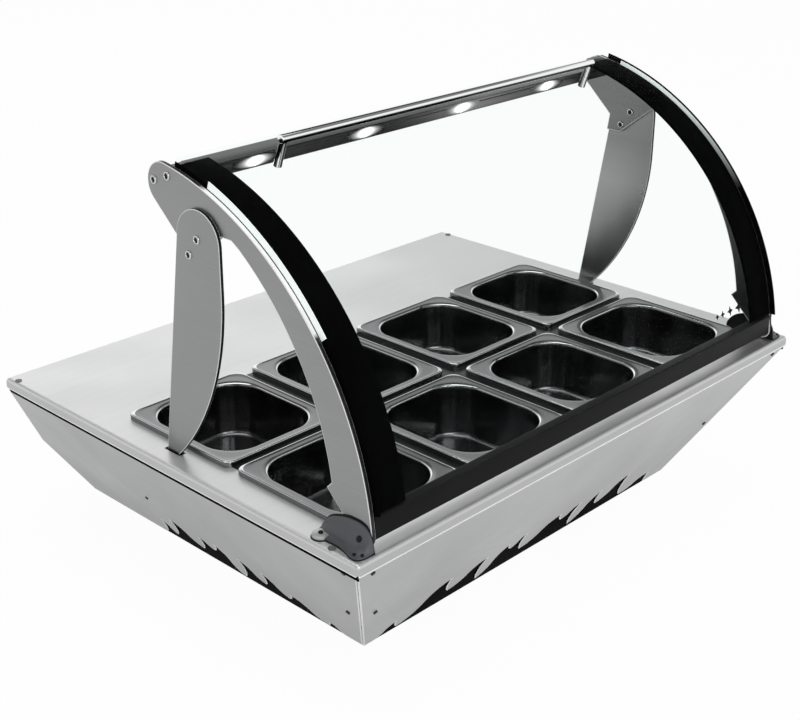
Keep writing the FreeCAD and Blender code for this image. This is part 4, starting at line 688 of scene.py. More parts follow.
# Right arm: a darker copy of the arm steel, painted shade.
FAR_ARM = BrushedSteel("far_arm_steel_painted_shade", (0.18, 0.183, 0.184), Grain.ALONG_Y, 0.28, 0.04)
# Right post: a lighter copy of the arm steel as painted light, with painted shade towards its top.
FAR_POST = BrushedSteel("far_post_steel_painted_light_and_shade", (0.40, 0.405, 0.40), Grain.ALONG_Y, 0.32, 0.04, FAR_POST_PAINTED_SHADE)
ARM_EDGE = Coating("arm_edge_painted_highlight", (0.92, 0.92, 0.92), 0.4, gloss=0.2, fades=ARM_EDGE_PAINTED_REFLECTION)
# The posts' cut edges painted near black: painted shade, where the arms' edges of the same steel are white.
POST_EDGE = Coating("post_edge_painted_shade", (0.010, 0.010, 0.0105), 0.4, gloss=0.1)
RAIL_STEEL = BrushedSteel("lamp_rail_steel", (0.25, 0.245, 0.243), Grain.ALONG_X, 0.3, 0.3, RAIL_PAINTED_SHADE)
# Painted glow: the lamp rail round each lamp gives off light, though it is no lamp.
RAIL_PAINTED_GLOW = PaintedGlowSteel("lamp_rail_painted_glow", RAIL_STEEL.colour, 2.4)
# Pan steel far darker than the worktop's: painted shade for the dark reflections on the pans.
PAN = PolishedSteel("pan_steel_painted_shade", (0.18, 0.182, 0.185), 0.17, 0.0002)
# Painted highlight on the pans' rim edges and mouth edges.
PAN_EDGE = PolishedSteel("pan_edge_painted_highlight", (0.66, 0.665, 0.67), 0.12, 0.0001)
CHROME = PolishedSteel("bright_chrome", (0.80, 0.81, 0.82), 0.07, 0.00005)
BAR_CHROME = ChromeWithPaintedStripes("handle_bar_chrome_painted_reflection", (0.92, 0.93, 0.94), 0.01, (0.42, 0.62))
POST_CHROME = ChromeWithPaintedStripes("handle_post_chrome_painted_reflection", (0.80, 0.80, 0.81), 0.12, (0.2, 0.6))
BOLT = PolishedSteel("bolt_steel", (0.62, 0.625, 0.63), 0.24, 0.0001)
BLACK = Coating("black_powder_coat_and_painted_shade", (0.004, 0.004, 0.0042), 0.45, gloss=0.001)
RAIL = Coating("front_rail_black", (0.012, 0.012, 0.0122), 0.4, 300.0, gloss=0.04)
BAND = Coating("band_black_and_painted_shade", (0.0025, 0.0025, 0.0027), 0.3, 200.0, gloss=0.002)
CASTING = Coating("hinge_casting_grey", (0.080, 0.084, 0.092), 0.42, 600.0, 0.00006, 0.25)
# Ear of the casting painted much paler than the casting: painted light on its upward face.
EAR = Coating("hinge_ear_painted_light", (0.50, 0.505, 0.51), 0.4, 600.0, 0.00004, 0.6)
FASTENER = Coating("fastener_black_zinc_and_painted_shade", (0.008, 0.008, 0.0082), 0.4, 900.0, 0.00002, gloss=0.15)
GLASS = ClearGlass("canopy_glass", (0.955, 0.985, 0.975))
GROUND = GroundGlass("ground_glass_edge", (0.92, 0.98, 0.955), 0.35)
FAR_GROUND = GroundGlass("far_ground_glass_edge_painted_reflection", (0.92, 0.98, 0.955), 0.35, FAR_GROUND_PAINTED_REFLECTION)
PRINT = Coating("printed_black", (0.004, 0.004, 0.004), 0.5, gloss=0.05)
LENS = LampLens("spot_lamp_lens", (1.0, 0.99, 0.97), 14.0)
RUBBER = Coating("foot_rubber", (0.02, 0.02, 0.02), 0.75, 900.0, 0.00006)
FOAM = Foam("insulating_foam", (0.80, 0.70, 0.42))
COPPER = PolishedSteel("tube_copper", (0.80, 0.42, 0.27), 0.28, 0.0001)
PLASTIC = Coating("black_plastic_moulded", (0.025, 0.025, 0.027), 0.42, 700.0, 0.00005)
MACHINE_BLACK = Coating("machine_enamel", (0.02, 0.02, 0.022), 0.3, 250.0, 0.00005)
PLUG = Coating("cap_grey", (0.13, 0.132, 0.136), 0.45, 500.0, 0.00003)


# Pieces
def dress(finish: Finish, *names: str) -> None:
    """Give CAD nodes a finish."""
    for name in names:
        mesh = NODES[name].data
        mesh.materials.clear()
        mesh.materials.append(material_of(finish))
        LOG.info("dressed %s in %s", name, finish.name)


def turned_to(mesh: bpy.types.Mesh, direction: Point) -> np.ndarray:
    """How far each point of a mesh faces a direction: its normal times the direction."""
    normals = np.empty(len(mesh.vertices) * 3, np.float32)
    mesh.vertex_normals.foreach_get("vector", normals)
    return normals.reshape(-1, 3) @ np.asarray(direction, np.float32)


def carry_painted_light(mesh: bpy.types.Mesh, values: np.ndarray) -> None:
    """Write one number for each point of a mesh, for its finish to read as painted light."""
    attribute = mesh.attributes.new(PAINTED_LIGHT, "FLOAT", "POINT")
    attribute.data.foreach_set("value", np.ascontiguousarray(values, np.float32))


def linked(name: str, data: bpy.types.ID) -> bpy.types.Object:
    """New object in the scene."""
    item = bpy.data.objects.new(name, data)
    bpy.context.collection.objects.link(item)
    return item


def piece(name: str, surfaces: Sequence[Surface], finish: Finish, body: str,
          stands_for: Sequence[str] = (), crease: float = 35.0,
          edges: Sequence[Finish] = ()) -> bpy.types.Object:
    """Put surfaces into one mesh object that rides on a body.

    Args:
        name: Name of the piece.
        surfaces: Closed surfaces in the frame of the case, in metres.
        finish: Finish of the piece.
        body: Body that the piece moves with.
        stands_for: CAD nodes that the piece takes the place of.
        crease: Angle in degrees above which an edge stays sharp.
        edges: Finishes of the bevels and the rims of plates, where they differ from that of the faces.

    Returns:
        The new object.
    """
    starts = np.cumsum([0] + [len(surface.points) for surface in surfaces])
    faces: list[list[int]] = []
    zones: list[int] = []
    for surface, start in zip(surfaces, starts):
        faces += (surface.quads + start).tolist() + [(cap + start).tolist() for cap in surface.caps]
        zones += surface.zones.tolist() + [0] * len(surface.caps)
    mesh = bpy.data.meshes.new(name)
    mesh.from_pydata(np.concatenate([surface.points for surface in surfaces]).tolist(), [], faces)
    mesh.shade_smooth()
    mesh.set_sharp_from_angle(angle=math.radians(crease))
    for look in (finish, *edges):
        mesh.materials.append(material_of(look))
    if edges:
        mesh.polygons.foreach_set("material_index", np.array(zones, np.int32))
    item = linked(name, mesh)
    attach(item, body)
    if stands_for:
        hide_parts(*stands_for)
    LOG.info("made %s, %d faces, on %s", name, len(faces), body)
    return item


@dataclass
class Drawing:
    """The drawing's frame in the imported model, read from the worktop."""

    half: float
    front: float
    top: float

    @classmethod
    def of_case(cls) -> "Drawing":
        """Read the frame from the worktop."""
        low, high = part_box("worktop")
        return cls(high[0], low[1], high[2])

    @property
    def width(self) -> float:
        """Width of the worktop in millimetres."""
        return 2 * self.half / MM

    def on_case(self, surface: Surface) -> Surface:
        """Carry a surface from the drawing to the model."""
        return surface.placed((-self.half, self.front, self.top), np.eye(3) * MM)

    def mirrored(self, surface: Surface) -> Surface:
        """Carry the mirror image of a surface on the drawing to the model."""
        return surface.placed((self.half, self.front, self.top), np.diag([-MM, MM, MM]))

    def both(self, *surfaces: Surface) -> list[Surface]:
        """Carry surfaces and their mirror images to the model."""
        return [*map(self.on_case, surfaces), *map(self.mirrored, surfaces)]


@dataclass
class Shell:
    """Tapered steel base, its worktop and what lies under it."""

    drawing: Drawing
    base_height: float = 197.0
    skirt: float = 11.0
    gap: float = 2.0
    setback: float = 1.5
    sheet: float = 1.5
    edge: float = 0.5
    bevel: float = 1.7
    tray_show: float = 3.0
    lap_gap: float = 0.3
    reveal: float = 1.8
    side_reveal: float = 5.6
    bead: float = 1.35
    side_bead: float = 0.75
    bead_inset: float = 0.1
    bead_lap: float = 0.2
    strip_edge: float = 0.2
    skirt_gap: float = 0.05
    seal: float = 5.0
    seal_front: float = 1.2
    seal_lap: float = 0.1
    front_inset: float = 105.0
    side_inset: float = 111.0
    rear_bulge: Pair = (648.0, 123.0)
    rear_foot: float = 600.0
    rear_top: float = 603.5
    wave_height: float = 60.0
    flank: float = 0.98
    lee: float = 1.1
    front_waves: tuple[Wave, ...] = (
        (0.053, 0.33, 0.069, 0.08), (0.196, 0.93, 0.213, 0.40), (0.316, 0.93, 0.326, 0.12),
        (0.393, 0.93, 0.411, 0.70), (0.451, 1.00, 0.466, 0.37), (0.581, 0.95, 0.599, 0.68),
        (0.656, 0.98, 0.666, 0.15), (0.741, 0.97, 0.755, 0.43), (0.854, 1.00, 0.879, 0.13),
        (0.990, 0.37, 1.000, 0.00))
    side_waves: tuple[Wave, ...] = (
        (0.060, 0.25, 0.085, 0.05), (0.230, 0.52, 0.261, 0.28), (0.355, 0.83, 0.381, 0.32),
        (0.475, 0.88, 0.525, 0.05), (0.601, 0.93, 0.632, 0.63), (0.701, 0.85, 0.733, 0.32),
        (0.865, 0.93, 0.903, 0.23), (0.956, 0.58, 1.000, 0.00))
    front_wave_ends: Pair = (122.0, 628.0)
    side_wave_ends: Pair = (130.0, 448.0)
    side_screw: Point = (64.6, 422.8, -119.0)
    slot: tuple[Pair, Pair] = ((23.9, 29.1), (296.4, 319.6))
    slot_rim: float = 1.5
    rim_height: float = 0.3
    rim_edge: float = 0.05

    @property
    def drop(self) -> float:
        """Height of the leaning panels."""
        return self.base_height - self.skirt - self.gap

    def wave_edge(self, ends: Pair, foot: float, waves: Sequence[Wave]) -> np.ndarray:
        """Edge cut into breaking waves.

        A flank is an S of two equal arcs that meet halfway up. The lee behind the crest is one hollow arc.

        Args:
            ends: Where the row of waves starts and ends.
            foot: Height of the panel's foot along its slope.
            waves: The waves, in shares of the row and of the wave height.

        Returns:
            Array of points along the edge.
        """
        table = np.asarray(waves).reshape(-1, 2)
        spots = np.stack([ends[0] + table[:, 0] * (ends[1] - ends[0]),
                          foot + table[:, 1] * (self.wave_height - foot)], axis=1)
        parts = [np.array([[ends[0], foot]])]
        for tip, low in zip(spots[::2], spots[1::2]):
            last = parts[-1][-1]
            half = (last + tip) / 2
            bend = self.flank * np.hypot(*(half - last))
            parts += [arc_through(last, half, bend, 12)[1:], arc_through(tip, half, bend, 12)[::-1][1:],
                      arc_through(tip, low, self.lee * np.hypot(*(low - tip)), 12)[1:]]
        return np.concatenate(parts)

    def leaning(self, outline: np.ndarray, origin: Point, along: Point, out: Point, inset: float) -> Surface:
        """Sheet that leans outwards.

        The outline's first number runs along the base, its second up the slope. The sheet lies behind its
        face.

        Args:
            outline: Points of the outline.
            origin: Foot of the face on the drawing.
            along: Direction of the base line.
            out: Level direction in which the sheet leans.
            inset: How far the foot lies inside the worktop's edge.

        Returns:
            The sheet on the drawing.
        """
        lean = np.array([inset - self.setback, self.drop]) / math.hypot(inset - self.setback, self.drop)
        up = np.asarray(out, float) * lean[0] + np.array([0.0, 0.0, lean[1]])
        inward = np.array([0.0, 0.0, lean[0]]) - np.asarray(out, float) * lean[1]
        return plate(outline, 0.0, self.sheet, self.edge, self.bevel).placed(origin, [inward, along, up])

    def drawn_in(self, inset: float, share: float) -> float:
        """Inset of a leaning panel's edge at a share of its height."""
        return inset - (inset - self.setback) * share

    def panels(self) -> None:
        """Front and side panels with the waves cut along their lower edges."""
        width, low, high = self.drawing.width, self.tray_show / self.drop, 1 - self.reveal / self.drop
        slope = math.hypot(self.front_inset - self.setback, self.drop)
        foot, head = (self.drawn_in(self.side_inset, share) for share in (low, high))
        front = np.concatenate([
            [(foot, slope * low)], self.wave_edge(self.front_wave_ends, slope * low, self.front_waves),
            [(width - foot, slope * low), (width - head, slope * high), (head, slope * high)]])
        foot_at = (0, self.front_inset, -self.base_height)
        sheet = self.leaning(front, foot_at, (1, 0, 0), (0, -1, 0), self.front_inset)
        piece("wave_cut_front_panel", [self.drawing.on_case(sheet)], PANEL, "case",
              ["front_panel"], edges=(HIGHLIGHT_BEVEL, CUT_EDGE))
        high = 1 - self.side_reveal / self.drop
        lap = (self.sheet + self.lap_gap) * slope / self.drop
        slope = math.hypot(self.side_inset - self.setback, self.drop)
        foot, head = (self.drawn_in(self.front_inset, share) + lap for share in (low, high))
        fold = (self.base_height - self.rear_bulge[1]) / self.drop
        rear = np.interp([low, high], [0, fold, 1], [self.rear_foot, self.rear_bulge[0], self.rear_top])
        side = np.concatenate([
            [(foot, slope * low)], self.wave_edge(self.side_wave_ends, slope * low, self.side_waves),
            [(rear[0], slope * low), (self.rear_bulge[0], slope * fold), (rear[1], slope * high),
             (head, slope * high)]])
        foot_at = (self.side_inset, 0, -self.base_height)
        sheet = self.leaning(side, foot_at, (0, 1, 0), (-1, 0, 0), self.side_inset)
        for name, surface in zip(SIDES, self.drawing.both(sheet)):
            piece(f"wave_cut_{name}_panel", [surface], SIDE_PANEL, "case",
                  [f"{name}_side_panel"], edges=(HIGHLIGHT_BEVEL, CUT_EDGE))

    @property
    def under_skirt(self) -> float:
        """Height on the drawing just under the worktop's skirt."""
        return -self.skirt - self.skirt_gap

    def seal_section(self, reveal: float, high: float) -> np.ndarray:
        """Section of a dark seal that paints the shade in the gap above a panel, its front leaning with the
        panel.

        Args:
            reveal: How far the panel ends under the gap.
            high: Height of the seal's top.

        Returns:
            Array of the four corners.
        """
        low = self.under_skirt - self.gap - reveal - self.seal_lap
        front = self.seal_front
        return np.array([(front + reveal / 2, low), (self.seal, low), (self.seal, high), (front, high)])

    def beads(self) -> None:
        """Beads under the worktop's skirt that paint a highlight line, thick in front and thin at the sides,
        over dark seals that paint the shade in the gap.
        """
        end, top, edge = 2 * self.setback, self.under_skirt, self.strip_edge
        along_y = [(0, 1, 0), (1, 0, 0), (0, 0, 1)]
        thick, thin = (arc((r + self.bead_inset, top - r), r, 0, 345, 24)
                       for r in (self.bead, self.side_bead))
        under = self.seal_section(self.reveal, top - 2 * self.bead + self.bead_lap)
        beside = self.seal_section(self.side_reveal, top - self.side_bead)
        bar, seal = (plate(loop, end, self.drawing.width - end, edge) for loop in (thick, under))
        wire, lip = (plate(loop, end, self.rear_top - end, edge).placed((0, 0, 0), along_y)
                     for loop in (thin, beside))
        # The beads paint a bright line and the seals the dark shade in the gap under the skirt.
        for name, front, side, finish, slot in (("gap_highlight_beads", bar, wire, CHROME, "stainless"),
                                                ("gap_shade_seals", seal, lip, BLACK, "black_rubber")):
            piece(name, [self.drawing.on_case(front), *self.drawing.both(side)], finish, "case")

    def side_screws(self) -> None:
        """One screw with a round head in each side panel, behind its waves."""
        lean = (-self.drop, 0.0, self.setback - self.side_inset)
        head = turned([(2.3, -0.8), (2.3, 0.4), (1.9, 0.9), (1.1, 1.1), (0.2, 1.1)], 30)
        screw = head.placed(self.side_screw, facing(lean, (0, 1, 0)))
        piece("side_panel_screws", self.drawing.both(screw), FASTENER, "case")

    def slot_rims(self) -> None:
        """Thin dark rim round each slot that takes a post's foot, painting the shade at the slot's edge: four
        flat bars.
        """
        (left, right), (front, rear), rim = *self.slot, self.slot_rim
        across, along, high = (left, right), (front - rim, rear + rim), self.rim_height
        bars = []
        for (x0, x1), (y0, y1) in (((left - rim, left), along), ((right, right + rim), along),
                                   (across, (front - rim, front)), (across, (rear, rear + rim))):
            section = np.array([(y0, 0.0), (y1, 0.0), (y1, high), (y0, high)])
            bars.append(plate(section, x0, x1, self.rim_edge))
        piece("post_slot_shade_rims", self.drawing.both(*bars), BLACK, "case")

    def build(self) -> None:
        """Make the panels, and dress the other sheets and the tray."""
        self.panels()
        self.beads()
        self.side_screws()
        self.slot_rims()
        dress(WORKTOP, "worktop")
        dress(PANEL, "rear_cover")
        dress(BLACK, "upper_frame", "base_tray")
        dress(RUBBER, "feet")
        dress(FASTENER, "shell_screws")
        dress(PLUG, "worktop_plugs")
        dress(DIVIDER, "row_divider", "cross_dividers")
        dress(INNER_SHEET, "well_tub", "deck_plate", "deck_supports", "post_sockets")
        dress(FOAM, "insulation")


@dataclass
class Pans:
    """Eight drawn steel pans with flat rims."""

    rim: Pair = (162.0, 176.0)
    rim_corner: float = 9.0
    mouth_corner: float = 42.0
    mouth_inset: float = 12.0
    least_corner: float = 1.0
    least_flat: float = 0.2
    lip: float = 3.0
    crease: float = 50.0
    # Insets across the section whose rows carry the painted highlight.
    bright: Pairs = ((0.3, 1.7), (11.0, 12.3))
    section: Pairs = (
        (78, -64.2), (50, -64.2), (27, -64.2), (24.2, -64.1), (22.4, -63.7), (20.8, -62.8), (19.6, -61.5),
        (18.9, -59.8), (18.5, -57.5), (17.0, -44.0), (15.2, -28.0), (13.4, -12.0), (12.7, -5.5),
        (12.45, -3.4), (12.0, -2.0), (11.3, -1.1), (10.3, -0.65), (9.0, -0.55), (5.5, -0.55),
        (4.2, -0.45), (3.0, -0.2), (2.0, 0.0), (1.2, -0.05), (0.6, -0.35), (0.2, -0.9), (0.0, -1.8),
        (0.0, -6.0), (0.7, -6.0), (0.8, -2.2), (1.4, -1.4), (5.0, -1.4), (10.0, -1.4), (11.0, -2.2),
        (11.6, -4.0), (11.9, -6.0), (14.4, -28.0), (17.7, -58.0), (18.3, -61.0), (19.8, -63.6),
        (22.4, -64.8), (25, -65.0), (50, -65.0), (78, -65.0))

    def surface(self, name: str) -> Surface:
        """Skin of one pan: rounded rectangles, drawn in and lowered along the section of the sheet.

        The corner radius grows in line from the rim to the mouth, and shrinks by the draft below it. The
        rim's outer edge and the mouth's edge carry a painted highlight.

        Args:
            name: CAD node of the pan.

        Returns:
            The pan in the frame of the case.
        """
        low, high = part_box(name)
        inset, height = np.asarray(self.section, float).T
        grow = (self.mouth_corner - self.rim_corner) / self.mouth_inset
        corner = np.where(inset < self.mouth_inset, self.rim_corner + grow * inset,
                          self.mouth_corner + self.mouth_inset - inset)
        half_x, half_y = self.rim[0] / 2 - inset, self.rim[1] / 2 - inset
        corner = np.clip(corner, self.least_corner, np.minimum(half_x, half_y) - self.least_flat)
        loops = rounded_loops(half_x, half_y, corner, height)
        middle = ((low[0] + high[0]) / 2, (low[1] + high[1]) / 2, high[2])
        # Rows of the rim's outer edge and the mouth's edge take the painted highlight.
        spots = (inset[:-1] + inset[1:]) / 2
        bright = sum((start <= spots) & (spots <= end) for start, end in self.bright)
        return lofted(loops, bright * (height[:-1] > -self.lip)).placed(middle, np.eye(3) * MM)

    def build(self) -> None:
        """Make the eight pans."""
        for row in ("front", "rear"):
            for number in range(1, 5):
                name = f"{row}_pan_{number}"
                piece(f"drawn_{name}", [self.surface(name)], PAN, name, [name], self.crease,
                      (PAN_EDGE,))


@dataclass
class Canopy:
    """Glass canopy: arms, posts, pane, bands, rails, lamps and handle."""

    drawing: Drawing
    center: Pair = (350.0, -17.0)
    radius: float = 342.0
    arm_inset: float = 28.5
    arm_thickness: float = 5.0
    post_thickness: float = 4.0
    arm_angles: Pair = (5.2, 81.6)
    arm_edge: Pair = (0.5, 1.0)
    post_edge: Pair = (0.4, 0.8)
    head_radius: float = 23.0
    foot_radius: float = 11.0
    fit_gap: float = 0.3
    glass_thickness: float = 8.0
    glass_angles: Pair = (9.0, 79.5)
    pane_edge: float = 0.5
    ground_edge: float = 0.6
    strip_edge: float = 0.1
    lit_rim: float = 5.6
    lit_angles: Pairs = ((38.0, 71.0), (37.0, 76.0))
    dark_tail: float = 4.5
    band_width: float = 43.0
    band_thickness: float = 3.5
    rail_front: Pair = (279.0, 313.67)
    rail_nose: Pair = (286.0, 297.97)
    rail_back: Pairs = (
        (300.0, 296.47), (307.0, 302.97), (307.0, 315.09), (286.0, 315.09))
    rail_edge: float = 0.35
    groove: Pairs = ((4.4, 0.0), (4.8, 1.0), (5.6, 1.0), (6.0, 0.0))
    bar_half: Pair = (6.0, 12.5)
    bar_corner: float = 1.6
    bar_middle: Pair = (16.5, 22.5)
    bar_edge: float = 0.8
    star_angle: float = 13.8
    star_waist: float = 0.42
    star_sheet: float = 0.15
    star_edge: float = 0.02
    star_lift: float = 0.2
    star_row: Pairs = ((628.0, 4.2), (640.0, 5.0), (656.5, 6.4), (676.0, 8.2))
    lamp_count: int = 4
    lamp_pitch: float = 160.0
    lamp_offset: float = -17.0
    glow_rings: tuple[float, ...] = (0.0, 0.1, 0.2, 0.35, 0.5, 0.7, 0.85, 1.0)
    glow_points: int = 48
    glow_start: float = 5.6
    glow_growth: Pair = (26.4, 2.7)
    glow_height: float = 0.1
    bolt_seat: float = 0.1
    post_bolts: Pairs = ((247.0, 255.0), (261.0, 236.0))
    rail_bolts: Pairs = ((294.0, 309.09), (316.0, 300.97))
    handle_spacing: float = 498.0
    handle_offset: float = -22.0
    handle_radius: float = 4.5
    handle_round: float = 0.5
    stem_short: float = 3.5
    handle_angle: float = 70.4
    handle_reach: float = 32.0
    bar_stripe: Point = (0.0, 0.538, 0.843)
    stem_stripe: Point = (0.692, -0.722, 0.0)

    @property
    def inside(self) -> float:
        """X on the drawing of the left ends of the pane and the rails."""
        return self.arm_inset + self.arm_thickness + self.fit_gap

    @property
    def ends(self) -> Pair:
        """X on the drawing of both ends of the pane and the rails."""
        return self.inside, self.drawing.width - self.inside

    @property
    def glass_radius(self) -> float:
        """Radius of the pane's inner face."""
        return self.radius + 2 * self.fit_gap

    @property
    def fall(self) -> np.ndarray:
        """Step on the drawing from the top of the lamp rail's front face to its nose."""
        return np.subtract(self.rail_nose, self.rail_front)

    def around(self, radius: float, start: float, end: float, count: int) -> np.ndarray:
        """Arc about the canopy's centre, its angles counted up from the front."""
        return arc(self.center, radius, 180 - start, 180 - end, count)

    def spot(self, radius: float, angle: float) -> np.ndarray:
        """Point at a radius and an angle about the canopy's centre."""
        return self.around(radius, angle, angle, 1)[0]

    def arm_outline(self) -> np.ndarray:
        """Sickle outline: outer arc, round head, tail, inner arc and round hinge foot."""
        first, last = self.arm_angles
        head = self.spot(self.radius - self.head_radius, last)
        return np.concatenate([
            self.around(self.radius, first, last, 90)[:-1],
            arc(head, self.head_radius, 180 - last, -45, 30),
            [(280, 247), (283, 226), (262, 226), (214, 264.5), (199, 264.5)],
            arc_through((188.3, 258), (64, 54), 312.5, 60),
            [(71, 47)],
            arc(HINGE, self.foot_radius, -56.1, -180 - first, 24)[:-1]])

    def post_outline(self) -> np.ndarray:
        """Outline of a rear post: round head, hollow front edge and a foot for the slot."""
        return np.concatenate([
            arc((246, 253), 33, 0, 180, 40),
            arc((502.7, 205), 289.7, 180, 225.05, 40),
            [(298, -8), (318, -8), (318, 0)]])

    def sector(self, inner: float, outer: float, low: float, high: float) -> np.ndarray:
        """Outline of a bent sheet between two angles: an arc out and a smaller one back."""
        return np.concatenate([self.around(outer, low, high, 110), self.around(inner, high, low, 110)])

    def plates(self) -> None:
        """Arms with cut edges in painted highlight and posts with cut edges in painted shade; on the right,
        the arm's steel is darkened and the post's lightened as painted shade and light.
        """
        seat = self.arm_inset
        arm = plate(self.arm_outline(), seat, seat + self.arm_thickness, *self.arm_edge)
        post = plate(self.post_outline(), seat - self.post_thickness, seat, *self.post_edge)
        # The right arm and post take shaded and lit copies of the left ones' steel: painted shade and light.
        finishes = ((ARM, ARM), (FAR_ARM, FAR_POST))
        for side, looks, *forms in zip(SIDES, finishes, self.drawing.both(arm), self.drawing.both(post)):
            for name, form, look, rim in zip(("arm", "post"), forms, looks, (ARM_EDGE, POST_EDGE)):
                piece(f"cut_{side}_{name}", [form], look, "canopy", [f"{side}_{name}"],
                      edges=(HIGHLIGHT_BEVEL, rim))

    def pane(self) -> None:
        """Bent pane with its ground ends, split by angle into painted light and painted shade, and the black
        bands under them.
        """
        low, high = self.glass_angles
        inner, full, lit = self.glass_radius, self.glass_thickness, self.lit_rim
        start, end = self.ends
        sheet = self.sector(inner, inner + full, low, high)
        clear = plate(sheet, start + self.ground_edge, end - self.ground_edge, self.pane_edge)
        piece("bent_glass_pane", [self.drawing.on_case(clear)], GLASS, "canopy",
              ["glass_pane"])
        left, right = self.drawing.on_case, self.drawing.mirrored
        # The ground ends are split by angle into glowing strips of painted light and black strips of painted
        # shade.
        (left_low, left_high), (right_low, right_high) = self.lit_angles
        for name, finish, carry, strips in (
                ("ground_left_end", GROUND, left, [(left_low, left_high, 0.0, full)]),
                ("painted_dark_left_end", BAND, left,
                 [(low, left_low, 0.0, full), (left_high, high, 0.0, self.dark_tail)]),
                ("ground_right_end", FAR_GROUND, right, [(right_low, right_high, 0.0, lit)]),
                ("painted_dark_right_end", BAND, right,
                 [(low, right_low, 0.0, lit), (right_high, high, 0.0, lit), (low, high, lit, full)])):
            sheets = [self.sector(inner + a, inner + b, first, last) for first, last, a, b in strips]
            made = [plate(strip, start, start + self.ground_edge, self.strip_edge) for strip in sheets]
            piece(name, [carry(strip) for strip in made], finish, "canopy")
        face = self.radius + self.fit_gap
        sheet = self.sector(face - self.band_thickness, face, low, high)
        band = plate(sheet, start, start + self.band_width, self.pane_edge)
        piece("bent_glass_bands", self.drawing.both(band), BAND, "canopy", ["glass_bands"])

    def stars(self) -> None:
        """Row of four-pointed stars printed inside the pane, near its lower right corner.

        The outline goes round in eight points, whose distance swings between the point and the waist.
        """
        angle = np.radians(np.arange(8) * 45.0)
        swing = np.tile([1.0, self.star_waist], 4)[:, None]
        shape = np.stack([np.cos(angle), np.sin(angle)], axis=1) * swing
        t = math.radians(self.star_angle)
        basis = [(0, -math.cos(t), math.sin(t)), (1, 0, 0), (0, math.sin(t), math.cos(t))]
        spot = self.spot(self.glass_radius - self.star_lift, self.star_angle)
        stars = [plate(shape * size, 0.0, self.star_sheet, self.star_edge).placed((x, *spot), basis)
                 for x, size in self.star_row]
        prints = [self.drawing.on_case(star) for star in stars]
        piece("printed_stars", prints, PRINT, "canopy")

    def rails(self) -> None:
        """Rail with soft corners along the pane's lower edge, and the lamp rail with a groove in front."""
        loop = rounded_loops(*np.array([(*self.bar_half, self.bar_corner, 0.0)]).T, 6)[0, :, :2]
        bar = plate(loop + np.array(self.bar_middle), *self.ends, self.bar_edge)
        piece("square_front_rail", [self.drawing.on_case(bar)], RAIL, "canopy", ["front_rail"])
        fall = self.fall / np.hypot(*self.fall)
        inward = np.array([-fall[1], fall[0]])
        groove = [self.rail_front + fall * along + inward * deep for along, deep in self.groove]
        shape = np.array([self.rail_front, *groove, self.rail_nose, *self.rail_back])
        bar = plate(shape, *self.ends, self.rail_edge)
        piece("grooved_lamp_rail", [self.drawing.on_case(bar)], RAIL_STEEL, "canopy",
              ["top_rail"])

    def lamps(self) -> None:
        """Spot lamps on the lamp rail's front face: a bezel, a faceted dome and a plate round them with a
        painted glow.
        """
        middle = np.add(self.rail_front, self.rail_nose) / 2
        basis = facing((0.0, self.fall[1], -self.fall[0]))
        ring = [(4.9, -3.0), (6.0, -3.0), (6.0, 0.3), (5.8, 0.6), (5.5, 0.7), (5.2, 0.5), (4.9, -0.4)]
        dome = [(5.1, -2.5), (5.1, 0.2), (4.6, 0.9), (3.6, 1.5), (2.1, 1.9), (0.3, 2.1)]
        spread, light = self.glow()
        bezels, domes, glows = [], [], []
        for number in range(self.lamp_count):
            steps = number - (self.lamp_count - 1) / 2
            x = self.drawing.width / 2 + self.lamp_offset + steps * self.lamp_pitch
            for shape, made in ((turned(ring), bezels), (turned(dome), domes), (spread, glows)):
                made.append(self.drawing.on_case(shape.placed((x, *middle), basis)))
        piece("lamp_bezels", bezels, CHROME, "canopy")
        piece("lamp_domes", domes, LENS, "canopy", ["lamp_lenses"])
        lit = piece("lamp_painted_glow_plates", glows, RAIL_PAINTED_GLOW, "canopy")
        carry_painted_light(lit.data, np.tile(light, len(glows)))

    def glow(self) -> tuple[Surface, np.ndarray]:
        """Thin oval plate round a lamp, and the painted light on it.

        The ovals widen in line from the lamp outwards, and the painted light falls with the cube of the share
        that is left. The last ring lies under the plate and closes it.

        Returns:
            The plate in the lamp's frame, and its painted light, one number for each of its points.
        """
        share = np.array([*self.glow_rings, 1.0])
        angle = np.arange(self.glow_points) * (2 * math.pi / self.glow_points)
        half_x, half_y = (self.glow_start + growth * share for growth in self.glow_growth)
        x, y = half_x[:, None] * np.cos(angle), half_y[:, None] * np.sin(angle)
        level = np.array([self.glow_height] * len(self.glow_rings) + [-self.glow_height])
        z = np.broadcast_to(level[:, None], x.shape)
        return lofted(np.stack([x, y, z], axis=-1)), np.repeat((1 - share) ** 3, self.glow_points)

    def bolt(self, inset: float, spot: Point, basis: np.ndarray, back: float) -> tuple[Surface, Surface]:
        """Button-head bolt: a head with a six-sided recess, its shank, and a dark disc at the recess's bottom
        that paints its shade.

        Args:
            inset: X of the head's seat on the drawing.
            spot: Depth and height of the axis.
            basis: Axes of the bolt, the head along +Z.
            back: Length of the shank.

        Returns:
            The bolt and the dark disc that paints the shade in its recess.
        """
        body = [(2.9, -back), (2.9, 0), (4.6, 0), (4.6, 0.7), (4.4, 1.15), (4.0, 1.45), (3.55, 1.6),
                (3.2, 1.6), (3.1, 0.9), (0.2, 0.9)]
        floor = [(3.0, 0.8), (3.0, 1.1), (0.2, 1.1)]
        at = (inset, *spot)
        return (turned(body, 36, sides=6, from_row=8).placed(at, basis),
                turned(floor, 36, sides=6).placed(at, basis))

